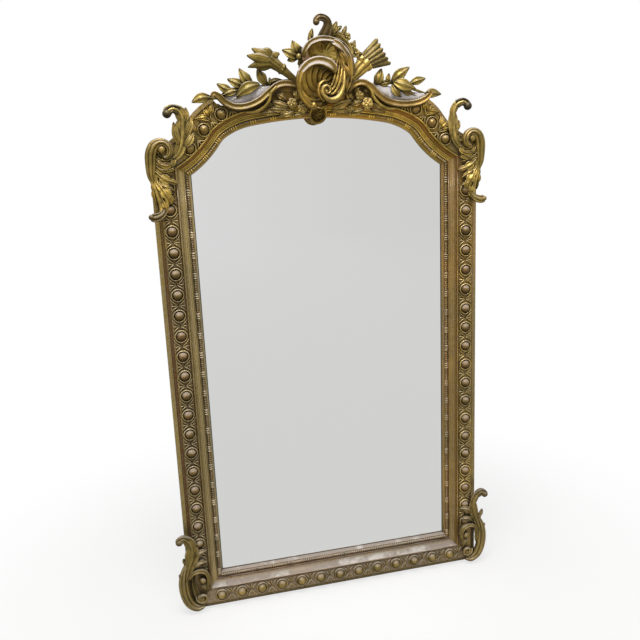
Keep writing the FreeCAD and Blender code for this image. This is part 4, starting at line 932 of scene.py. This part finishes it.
LEFT_BAR = [
    (-52, 1478, 48, 7, 9), (-86, 1486, 50, 9, 11), (-116, 1482, 52, 9, 12), (-144, 1462, 52, 9, 12),
    (-172, 1441, 52, 9, 12), (-205, 1428, 52, 9, 12), (-240, 1426, 52, 9, 12), (-268, 1438, 54, 9, 12),
    (-285, 1455, 57, 9, 12), (-298, 1462, 60, 7, 10), (-304, 1453, 61, 5, 8)]
LEFT_LEDGE = [
    (-96, 1488, 36, 4, 6), (-128, 1479, 36, 12, 9), (-160, 1466, 36, 18, 11), (-192, 1455, 36, 22, 12),
    (-226, 1448, 36, 21, 12), (-256, 1449, 38, 15, 10), (-282, 1456, 40, 6, 6)]
RIGHT_BAR = [
    (88, 1462, 48, 7, 9), (106, 1478, 50, 9, 11), (132, 1486, 52, 9, 12), (158, 1476, 52, 9, 12),
    (182, 1452, 52, 9, 12), (212, 1432, 52, 9, 12), (252, 1423, 52, 9, 12), (296, 1424, 53, 9, 12),
    (328, 1434, 56, 9, 12), (347, 1450, 60, 7, 10), (342, 1460, 61, 5, 8)]
RIGHT_LEDGE = [
    (140, 1484, 36, 4, 6), (168, 1474, 36, 10, 9), (198, 1460, 36, 18, 11), (230, 1448, 36, 22, 12),
    (264, 1442, 36, 20, 12), (300, 1440, 38, 15, 10), (332, 1446, 40, 6, 6)]
FRIEZE_GROUNDS = [
    [(-44, 1444, 29, 22, 7), (-84, 1450, 30, 26, 8), (-116, 1446, 30, 24, 8), (-146, 1432, 30, 16, 7),
     (-176, 1420, 29, 8, 5)],
    [(80, 1436, 29, 20, 7), (116, 1448, 30, 26, 8), (148, 1450, 30, 26, 8), (176, 1436, 30, 16, 7),
     (206, 1422, 29, 8, 5)]]
LEFT_RIBBON = [
    (-118, 1480, 58, 3, 5), (-136, 1462, 58, 4, 6), (-142, 1442, 54, 5, 6), (-158, 1424, 48, 5, 6),
    (-184, 1412, 44, 5, 6), (-214, 1411, 42, 3, 4)]
RIGHT_RIBBON = [
    (142, 1482, 58, 3, 5), (162, 1464, 58, 4, 6), (170, 1444, 54, 5, 6), (188, 1424, 48, 5, 6),
    (214, 1412, 44, 5, 6), (244, 1411, 42, 3, 4)]
LOWER_RIM = [
    (-4, 1418, 66, 5, 6), (-27, 1428, 74, 7, 9), (-48, 1452, 80, 7, 10), (-55, 1486, 84, 7, 10),
    (-46, 1517, 87, 9, 11), (-21, 1540, 90, 11, 12), (10, 1547, 92, 12, 12), (38, 1538, 92, 13, 12),
    (52, 1524, 90, 10, 10), (51, 1513, 88, 6, 7)]
HOOD_RIM = [
    (-36, 1556, 70, 5, 6), (-33, 1574, 76, 7, 9), (-14, 1596, 80, 8, 10), (18, 1606, 83, 8, 11),
    (54, 1602, 82, 7, 9), (84, 1588, 79, 6, 8), (102, 1563, 76, 5, 7), (110, 1534, 72, 4, 6),
    (112, 1505, 66, 3, 4)]
LIMB_TIP = [
    (44, 1600, 76, 3, 4), (56, 1596, 84, 9, 8), (70, 1588, 86, 10, 8), (84, 1574, 84, 6, 6),
    (95, 1556, 82, 3, 4)]
SPIRAL_LIMB = [
    (58, 1590, 70, 6, 7), (72, 1578, 74, 13, 9), (84, 1552, 76, 19, 10), (87, 1518, 78, 20, 10),
    (82, 1484, 80, 18, 10), (67, 1459, 83, 14, 9), (50, 1450, 84, 9, 7), (36, 1450, 84, 4, 4)]
SPIRAL_EDGE = [
    (82, 1520, 84, 3, 5), (82, 1500, 88, 5, 7), (80, 1483, 90, 6, 8), (74, 1463, 92, 7, 9),
    (63, 1447, 94, 7.5, 10), (46, 1439, 95, 7.5, 10), (28, 1443, 95, 6.5, 9), (17, 1455, 95, 5.5, 8),
    (15, 1467, 95, 5, 8), (21, 1476, 96, 4.5, 8), (30, 1478, 97, 4, 7), (37, 1471, 98, 4, 7),
    (38, 1462, 99, 3.5, 7), (32, 1457, 100, 3.2, 6), (27, 1461, 100, 3, 6), (29, 1467, 100, 2.4, 5)]
SPIRAL_FLUTES = [
    [(80, 1546, 76, 2.5, 4), (73, 1506, 85, 4.5, 5), (67, 1484, 87, 5, 5), (58, 1466, 88, 5, 5),
     (46, 1455, 89, 4.5, 5), (32, 1452, 90, 2.5, 4)],
    [(72, 1552, 74, 2.5, 4), (64, 1510, 83, 4.5, 5), (58, 1489, 86, 4.5, 5), (51, 1474, 87, 4.5, 5),
     (42, 1464, 89, 3, 4)],
    [(64, 1552, 72, 2.5, 4), (56, 1514, 80, 4, 5), (51, 1496, 83, 4, 5), (45, 1482, 85, 3.5, 4),
     (38, 1474, 87, 2, 3)],
    [(34, 1492, 84, 2.5, 4), (20, 1491, 86, 4, 6), (9, 1483, 87, 4.5, 7), (4, 1472, 87, 4.5, 7),
     (4, 1458, 86, 4.5, 7), (10, 1445, 84, 4, 6), (20, 1434, 80, 2.5, 4)]]
LIMB_LEAFLETS = [
    [(72, 1572, 84, 5), (86, 1554, 88, 8), (94, 1528, 82, 2)],
    [(80, 1536, 86, 5), (93, 1514, 90, 8), (97, 1486, 82, 2)],
    [(70, 1502, 88, 4), (85, 1482, 92, 8), (86, 1456, 84, 2)]]
RIM_END = [(-12, 1424, 70, 11)]
SHELL_MIDDLE = [(32, 1470, 56)]
SHELL_RADII = [62, 66, 72, 76, 83, 84, 85, 82, 64, 36, 30, 42]
HOOD_MIDDLE = [(28, 1566, 44)]
HOOD_RADII = [72, 60, 40, 46, 58, 50, 40, 56]
PENDANT_MIDDLE = [(-5, 1398, 20)]
PENDANT_RADII = [26, 26, 24, 26, 26, 25, 25, 25]
# Rims of the pendant: reach, lift, half-width, first and last angle in half turns.
PENDANT_RIMS = [(23.5, 18, 3.4, 0.5, 2.5), (14, 8, 2.4, -0.35, 0.35)]
PENDANT_TILT = 0.45
PLUME = [
    (18, 1596, 76, 18, 11), (29, 1618, 80, 16, 12), (37, 1637, 84, 13, 12), (37, 1652, 88, 10, 11),
    (28, 1661, 91, 9, 10), (14, 1663, 93, 9, 10), (5, 1656, 94, 8, 9), (6, 1648, 94, 5, 6)]
PLUME_END = [(5, 1651, 94, 9)]
CREST_SPRIGS = [
    [(-16, 1592, 68, 5), (-13, 1612, 72, 9), (-7, 1634, 70, 2)],
    [(42, 1610, 68, 5), (54, 1630, 72, 11), (66, 1653, 70, 2)],
    [(50, 1612, 66, 5), (66, 1630, 70, 8), (80, 1640, 68, 2)],
    [(72, 1608, 62, 4), (84, 1622, 66, 8), (93, 1641, 64, 2)],
    [(84, 1604, 60, 4), (96, 1616, 64, 8), (103, 1608, 60, 2)],
    [(106, 1576, 60, 4), (112, 1588, 64, 7), (118, 1602, 62, 2)],
    [(118, 1556, 56, 4), (130, 1564, 60, 7), (142, 1560, 56, 2)]]
CREST_FLOWERS = [
    (72, 1612, 64, 12), (92, 1610, 62, 12), (108, 1584, 62, 12), (118, 1566, 60, 13), (132, 1548, 58, 12)]
LEFT_PETALS = [
    [(-50, 1564, 58, 5), (-58, 1582, 66, 14), (-67, 1602, 60, 2)],
    [(-52, 1560, 58, 5), (-74, 1568, 68, 14), (-98, 1577, 60, 2)],
    [(-52, 1556, 56, 4), (-70, 1552, 62, 9), (-84, 1548, 56, 2)],
    [(-44, 1556, 58, 4), (-46, 1546, 60, 7), (-54, 1536, 56, 2)],
    [(-44, 1562, 58, 4), (-40, 1574, 62, 7), (-44, 1586, 58, 2)]]
LEFT_BUD = [(-50, 1558, 64, 9)]
TORCH = [
    (-36, 1472, 48, 7, 7), (-66, 1497, 52, 9, 9), (-94, 1520, 56, 12, 12), (-100, 1525, 57, 17, 16),
    (-106, 1529, 58, 14, 14), (-122, 1541, 59, 17, 16), (-138, 1553, 60, 20, 18)]
FLAMES = [
    [(-132, 1552, 62, 9), (-158, 1568, 70, 13), (-184, 1581, 64, 2)],
    [(-134, 1548, 66, 9), (-166, 1556, 76, 14), (-199, 1562, 66, 2)],
    [(-130, 1540, 62, 8), (-164, 1540, 70, 11), (-198, 1531, 60, 2)],
    [(-124, 1556, 60, 8), (-140, 1572, 66, 12), (-158, 1576, 60, 2)],
    [(-118, 1552, 58, 8), (-120, 1562, 66, 11), (-108, 1566, 60, 4)],
    [(-130, 1536, 56, 7), (-158, 1530, 60, 9), (-182, 1536, 54, 2)]]
QUIVER = [
    (84, 1480, 46, 8, 8), (108, 1502, 52, 13, 13), (132, 1525, 57, 18, 17), (142, 1534, 59, 19, 18),
    (146, 1538, 60, 23, 20), (152, 1544, 60, 23, 20)]
FAN_MOUTH = ((131, 1561), (170, 1523))
FAN_END = ((184, 1611), (229, 1534))
LEFT_LAUREL = [
    [(-146, 1480, 42, 4), (-160, 1504, 52, 14), (-172, 1526, 46, 2)],
    [(-184, 1482, 42, 4), (-206, 1502, 54, 15), (-223, 1529, 48, 2)],
    [(-200, 1480, 42, 4), (-232, 1490, 54, 13), (-258, 1501, 46, 2)],
    [(-240, 1466, 42, 4), (-266, 1476, 52, 12), (-288, 1489, 46, 2)],
    [(-166, 1486, 48, 5), (-202, 1476, 62, 17), (-236, 1453, 50, 2)],
    [(-224, 1472, 44, 4), (-252, 1466, 54, 11), (-282, 1454, 46, 2)],
    [(-306, 1452, 42, 5), (-334, 1452, 52, 14), (-361, 1440, 46, 2)],
    [(-150, 1482, 42, 3), (-124, 1494, 48, 8), (-98, 1494, 44, 2)],
    [(-138, 1480, 44, 4), (-136, 1490, 50, 7), (-138, 1503, 46, 2)],
    [(-196, 1470, 40, 4), (-226, 1452, 46, 10), (-254, 1440, 42, 2)]]
RIGHT_LAUREL = [
    [(174, 1478, 42, 4), (188, 1498, 54, 15), (196, 1524, 46, 2)],
    [(226, 1486, 44, 4), (252, 1506, 58, 16), (284, 1527, 48, 2)],
    [(232, 1488, 50, 5), (264, 1478, 64, 17), (304, 1464, 50, 2)],
    [(284, 1480, 44, 4), (308, 1488, 54, 12), (334, 1494, 46, 2)],
    [(228, 1478, 46, 4), (240, 1460, 56, 12), (256, 1442, 46, 2)],
    [(330, 1446, 44, 4), (354, 1452, 52, 14), (384, 1448, 44, 2)],
    [(180, 1478, 40, 4), (206, 1482, 46, 9), (232, 1488, 42, 2)],
    [(214, 1484, 44, 4), (216, 1495, 50, 8), (220, 1510, 46, 2)],
    [(250, 1470, 42, 4), (276, 1456, 48, 10), (304, 1444, 44, 2)]]
LEFT_STEM = [
    (-128, 1476, 36, 4, 4), (-176, 1478, 40, 4, 4), (-224, 1468, 40, 4, 4), (-276, 1452, 38, 4, 4),
    (-312, 1450, 34, 3, 3)]
RIGHT_STEM = [
    (158, 1474, 36, 4, 4), (206, 1484, 40, 4, 4), (256, 1476, 40, 4, 4), (306, 1460, 38, 4, 4),
    (346, 1446, 34, 3, 3)]
ROSES = [
    (-47, 1416, 50, 13), (-76, 1432, 46, 14), (-104, 1412, 42, 10), (150, 1426, 48, 17),
    (127, 1449, 46, 13), (96, 1412, 42, 10)]
ROSE_LEAVES = [
    [(-92, 1440, 42, 5), (-106, 1452, 48, 9), (-124, 1458, 42, 2)],
    [(-60, 1440, 46, 5), (-62, 1456, 50, 9), (-72, 1468, 44, 2)],
    [(-88, 1424, 44, 5), (-112, 1430, 50, 10), (-138, 1438, 42, 2)],
    [(-90, 1416, 42, 5), (-118, 1416, 48, 9), (-148, 1420, 40, 2)],
    [(-70, 1412, 42, 4), (-92, 1402, 46, 8), (-116, 1404, 40, 2)],
    [(-118, 1410, 40, 4), (-142, 1408, 44, 8), (-170, 1408, 38, 2)],
    [(-54, 1428, 46, 4), (-42, 1438, 50, 8), (-38, 1450, 46, 2)],
    [(-40, 1410, 46, 4), (-56, 1400, 48, 7), (-74, 1398, 42, 2)],
    [(-128, 1428, 40, 4), (-146, 1432, 44, 8), (-160, 1428, 40, 2)],
    [(42, 1416, 46, 5), (70, 1424, 58, 11), (104, 1438, 48, 2)],
    [(40, 1408, 44, 4), (68, 1410, 48, 9), (98, 1404, 42, 2)],
    [(108, 1436, 44, 4), (96, 1448, 50, 9), (92, 1462, 44, 2)],
    [(134, 1434, 46, 4), (116, 1428, 50, 9), (100, 1422, 44, 2)],
    [(140, 1412, 44, 4), (120, 1404, 46, 8), (98, 1402, 40, 2)],
    [(164, 1436, 44, 4), (174, 1448, 48, 9), (176, 1462, 42, 2)],
    [(166, 1424, 44, 4), (188, 1420, 48, 9), (212, 1408, 40, 2)],
    [(158, 1410, 42, 4), (180, 1404, 44, 8), (206, 1400, 38, 2)],
    [(140, 1458, 44, 4), (150, 1466, 48, 8), (152, 1478, 42, 2)],
    [(112, 1456, 46, 4), (122, 1468, 50, 8), (132, 1476, 44, 2)]]


def fan(bm, mouth, end, ribs):
    """Ribbed fan of feathers between two lines, with a notched far edge."""
    def shape(u, v):
        across = 2 * v if v <= 0.5 else 2 - 2 * v
        rib = abs(math.sin(math.pi * ribs * across))
        first = Vector(mouth[0]).lerp(Vector(mouth[1]), across)
        last = Vector(end[0]).lerp(Vector(end[1]), across)
        far = u * (0.9 + 0.1 * rib)
        x, z = first.lerp(last, far)
        swell = 12 * math.sin(math.pi * across) * (1 - 0.3 * u)
        h = 56 + 6 * u + (swell + 2.6 * rib if v <= 0.5 else -3 * math.sin(math.pi * across))
        return model(drawn([(x, z, h * (1 if 0 < u < 1 else 0.98))])[0])
    skin(bm, 24, 144, shape)


def crest():
    """Bars, ribbons, roses, laurel, cartouche, torch and quiver above the arch."""
    for side, thick, thin, shelf in (
            ("left", LEFT_BAR, LEFT_RIBBON, LEFT_LEDGE), ("right", RIGHT_BAR, RIGHT_RIBBON, RIGHT_LEDGE)):
        with piece("bar_crest_" + side, BAR_GILT, "crest_bar_" + side) as bm:
            bar(bm, drawn(thick), TWO_RIDGES, along=110)
        with piece("ledge_crest_" + side, LEDGE_DUST, "crest_bar_" + side) as bm:
            bar(bm, drawn(shelf), round_section, along=60)
        with piece("ribbon_crest_" + side, CARVED, "crest_ribbon_" + side) as bm:
            bar(bm, drawn(thin), round_section)
    for side, stem, spray in (("left", LEFT_STEM, LEFT_LAUREL), ("right", RIGHT_STEM, RIGHT_LAUREL)):
        with piece("laurel_spray_" + side, LAUREL_GILT, "laurel_" + side) as bm:
            bar(bm, drawn(stem), round_section, around=12)
            leaves(bm, drawn, spray, rib=2.2, cup=2.5, thick=2.5)
    with piece("roses", VOLUTE_GILT, "crest_roses") as bm:
        for i, (x, z, h, size) in enumerate(drawn(ROSES)):
            flower(bm, (x, z, h), size, 5, 0.7 * i)
            flower(bm, (x, z, h + 0.25 * size), 0.62 * size, 4, 0.4 + 0.7 * i)
        leaves(bm, drawn, ROSE_LEAVES, lobes=3, notch=0.25)
    with piece("frieze_ground", GROUND_GILT, "crest_roses") as bm:
        for rows in FRIEZE_GROUNDS:
            bar(bm, drawn(rows), round_section, along=40)
    cartouche()
    pendant()
    trophies()


def cartouche():
    """Shell with its hood, rims and spiral, and the plume and blossoms above it."""
    with piece("shell_lower", SHELL_GILT, "cartouche_shell") as bm:
        dish(bm, drawn(SHELL_MIDDLE)[0], SHELL_RADII, 24, 8, 12, 2.2, 3.4)
    with piece("shell_lower_rim", SHELL_GILT, "cartouche_scroll") as bm:
        bar(bm, drawn(LOWER_RIM[:6]), TWO_RIDGES, along=60)
        balls(bm, drawn, RIM_END)
    with piece("shell_lower_lip", RUBBED, "cartouche_scroll") as bm:
        bar(bm, drawn(LOWER_RIM[3:]), TWO_RIDGES, along=60, cap=0.1)
    with piece("shell_spiral", SHELL_GILT, "cartouche_scroll") as bm:
        bar(bm, drawn(SPIRAL_LIMB), ridged(4, 0.62), along=100, around=64)
        for rows in SPIRAL_FLUTES:
            bar(bm, drawn(rows), round_section, along=50, around=16)
        leaves(bm, drawn, LIMB_LEAFLETS, lobes=2, notch=0.3)
    with piece("shell_spiral_edge", VOLUTE_GILT, "cartouche_scroll") as bm:
        bar(bm, drawn(SPIRAL_EDGE), round_section, along=140, around=20)
    with piece("shell_hood", HOOD_GILT, "cartouche_hood") as bm:
        dish(bm, drawn(HOOD_MIDDLE)[0], HOOD_RADII, 30, 8, 10, 0.5, 1.2)
    with piece("shell_hood_rim", RUBBED, "hood_rim") as bm:
        bar(bm, drawn(HOOD_RIM), TWO_RIDGES, along=100)
        bar(bm, drawn(LIMB_TIP), TWO_RIDGES, along=40)
    with piece("plume", DUSKY, "crest_plume") as bm:
        bar(bm, drawn(PLUME), THREE_RIDGES)
        balls(bm, drawn, PLUME_END)
    with piece("sprigs", LAUREL_GILT, "crest_plume") as bm:
        leaves(bm, drawn, CREST_SPRIGS, lobes=2, notch=0.2)
    with piece("blossoms", LAUREL_GILT, "crest_blossoms") as bm:
        for i, (x, z, h, size) in enumerate(drawn(CREST_FLOWERS)):
            flower(bm, (x, z, h), size, 5, 0.9 * i)
        leaves(bm, drawn, LEFT_PETALS)
        balls(bm, drawn, LEFT_BUD)


def pendant():
    """Hollow roundel below the cartouche, leaning back at its foot."""
    x, z, h = drawn(PENDANT_MIDDLE)[0]
    with piece("pendant", SHELL_GILT, "pendant_shell") as bm:
        dish(bm, (x, z, h), PENDANT_RADII, 18, 10, 8, 0.0, 1.0)
        for reach, lift, half, first, last in PENDANT_RIMS:
            rows = []
            for i in range(11):
                a = math.pi * (first + (last - first) * i / 10)
                rows.append((x + reach * math.cos(a), z + reach * math.sin(a), h + lift, half, half + 1))
            bar(bm, rows, round_section)
        for vert in bm.verts:
            vert.co.y -= PENDANT_TILT * (vert.co.z - model((x, z, h)).z)


def trophies():
    """Torch with its flame, and quiver with its feathers."""
    with piece("torch_body", DARK_GILT, "torch_handle") as bm:
        bar(bm, drawn(TORCH), fluted_section, around=60, cap=0.02)
    with piece("torch_fire", DARK_GILT, "torch_flame") as bm:
        leaves(bm, drawn, FLAMES, cup=-2, thick=6)
    with piece("quiver_body", CARVED, "quiver") as bm:
        strands(bm, drawn(QUIVER), 3)
    with piece("feathers", FEATHER_GILT, "arrow_feathers") as bm:
        fan(bm, FAN_MOUTH, FAN_END, 6)


# Finishes of CAD nodes by the start of their names.
NODE_FINISHES = (
    ("mirror", MIRROR), ("moulding_shoulder", SHOULDER_GILT), ("moulding_left", STILE_GILT),
    ("moulding_right", WARM_GILT), ("moulding_bottom", FOOT_GILT), ("moulding_top", TOP_GILT),
    ("carcass_stile", PINE), ("carcass", PINE_RAIL), ("backboard", PINE), ("glazing", PINE),
    ("crest_core", PINE), ("crest_strap", IRON), ("hanger", IRON), ("back_screws", STEEL), ("", CARVED))


def dress_frame():
    """Finishes of the CAD nodes that stay in view."""
    for name, node in nodes.items():
        finish = next(finish for start, finish in NODE_FINISHES if name.startswith(start))
        node.data.materials.clear()
        node.data.materials.append(finish)


def plane(name, size, location, rotation, finish):
    bpy.ops.mesh.primitive_plane_add(size=size, location=location, rotation=rotation)
    thing = bpy.context.object
    thing.name = name
    thing.data.materials.append(finish)
    return thing


CLOTH_ACROSS = (-4.0, 6.0)
CLOTH_LEFT = rgb(228, 228, 228)
CLOTH_RIGHT = rgb(214, 214, 213)


def floor_finish():
    """Pale floor: white to the eye away from the object, grey in the glass, with its shadow near the foot."""
    f = Finish("pale_floor")
    eye = f.add("LightPath", "Is Camera Ray", {})
    gloss = f.add("LightPath", "Is Glossy Ray", {})
    where = f.place()
    far = f.band(f.add("VectorMath", "Value", {"operation": "LENGTH"}, where), 0.5, 1.6)
    f.done(Base_Color=f.mix(f.noise(where, 3.0) * 0.1, rgb(236, 235, 232), rgb(222, 220, 216)), Roughness=0.8)
    away = f.band(f.add("SeparateXYZ", "Y", {}, where) * -1.0, 0.0, 11.0)
    across = f.band(f.add("SeparateXYZ", "X", {}, where), *CLOTH_ACROSS)
    grey = f.mix(gloss, (1, 1, 1), f.mix(away, rgb(216, 216, 214), f.mix(across, CLOTH_LEFT, CLOTH_RIGHT)))
    f.glow(grey, (eye * (0.72 + far * 0.28) + gloss).clamp())
    return f.material


def backdrop_finish():
    """Pale grey cloth that only the glass and the gilding reflect."""
    f = Finish("pale_backdrop")
    across = f.add("SeparateXYZ", "X", {}, f.add("TexCoord", "Object", {}))
    f.glow(f.mix(f.band(across, *CLOTH_ACROSS), CLOTH_LEFT, CLOTH_RIGHT), 1.0)
    return f.material


def world_light():
    """White to the eye, and a soft light from above for the object."""
    world = bpy.data.worlds.new("studio")
    bpy.context.scene.world = world
    f = Nodes(world)
    up = f.add("SeparateXYZ", "Z", {}, f.add("TexCoord", "Object", {}))
    sky = f.add("MapRange", 0, {}, up, -0.2, 0.9, 0.08, 0.44)
    eye = f.add("LightPath", "Is Camera Ray", {})
    light = f.tree.nodes["Background"]
    f.feed(light.inputs["Strength"], f.add("Mix", 0, {}, eye, A=sky, B=1.0))
    f.feed(light.inputs["Color"], (1, 1, 1))


# Soft lights: name, place, size, power.
LIGHTS = (
    ("above", (-0.4, -1.2, 3.6), 1.6, 88), ("left", (-3.0, -2.6, 1.9), 2.0, 12),
    ("right", (3.0, -2.2, 1.4), 2.0, 10))
AIM = Vector((0, 0, 0.95))
SENSOR = 36
LENS = 39.56
VIEW_RIGHT = Vector((0.970, -0.239, -0.0422))
VIEW_UP = Vector((0.0923, 0.2025, 0.9749))
VIEW_AHEAD = Vector((0.2244, 0.9497, -0.2185))


def studio():
    """Pale floor, backdrop seen only in reflections, soft lights and the camera."""
    scene = bpy.context.scene
    scene.view_settings.view_transform = "Standard"
    plane("floor", 60, (0, 0, FOOT * MM - 0.0005), (0, 0, 0), floor_finish())
    backdrop = plane("backdrop", 40, (0, -12, 19.5), (math.radians(90), 0, 0), backdrop_finish())
    backdrop.visible_camera = False
    backdrop.visible_diffuse = False
    backdrop.visible_shadow = False
    world_light()
    for name, place, size, power in LIGHTS:
        lamp = bpy.data.lights.new(name, "AREA")
        lamp.size = size
        lamp.energy = power
        thing = bpy.data.objects.new(name, lamp)
        thing.location = place
        thing.rotation_euler = (AIM - Vector(place)).to_track_quat("-Z", "Y").to_euler()
        scene.collection.objects.link(thing)
    camera = bpy.data.cameras.new("camera")
    camera.sensor_width = SENSOR
    camera.lens = LENS
    thing = bpy.data.objects.new("camera", camera)
    turn = Matrix((VIEW_RIGHT, VIEW_UP, -VIEW_AHEAD)).transposed()
    thing.matrix_world = Matrix.Translation(model(EYE)) @ turn.to_4x4()
    scene.collection.objects.link(thing)
    scene.camera = thing


runs()
corners()
crest()
dress_frame()
studio()
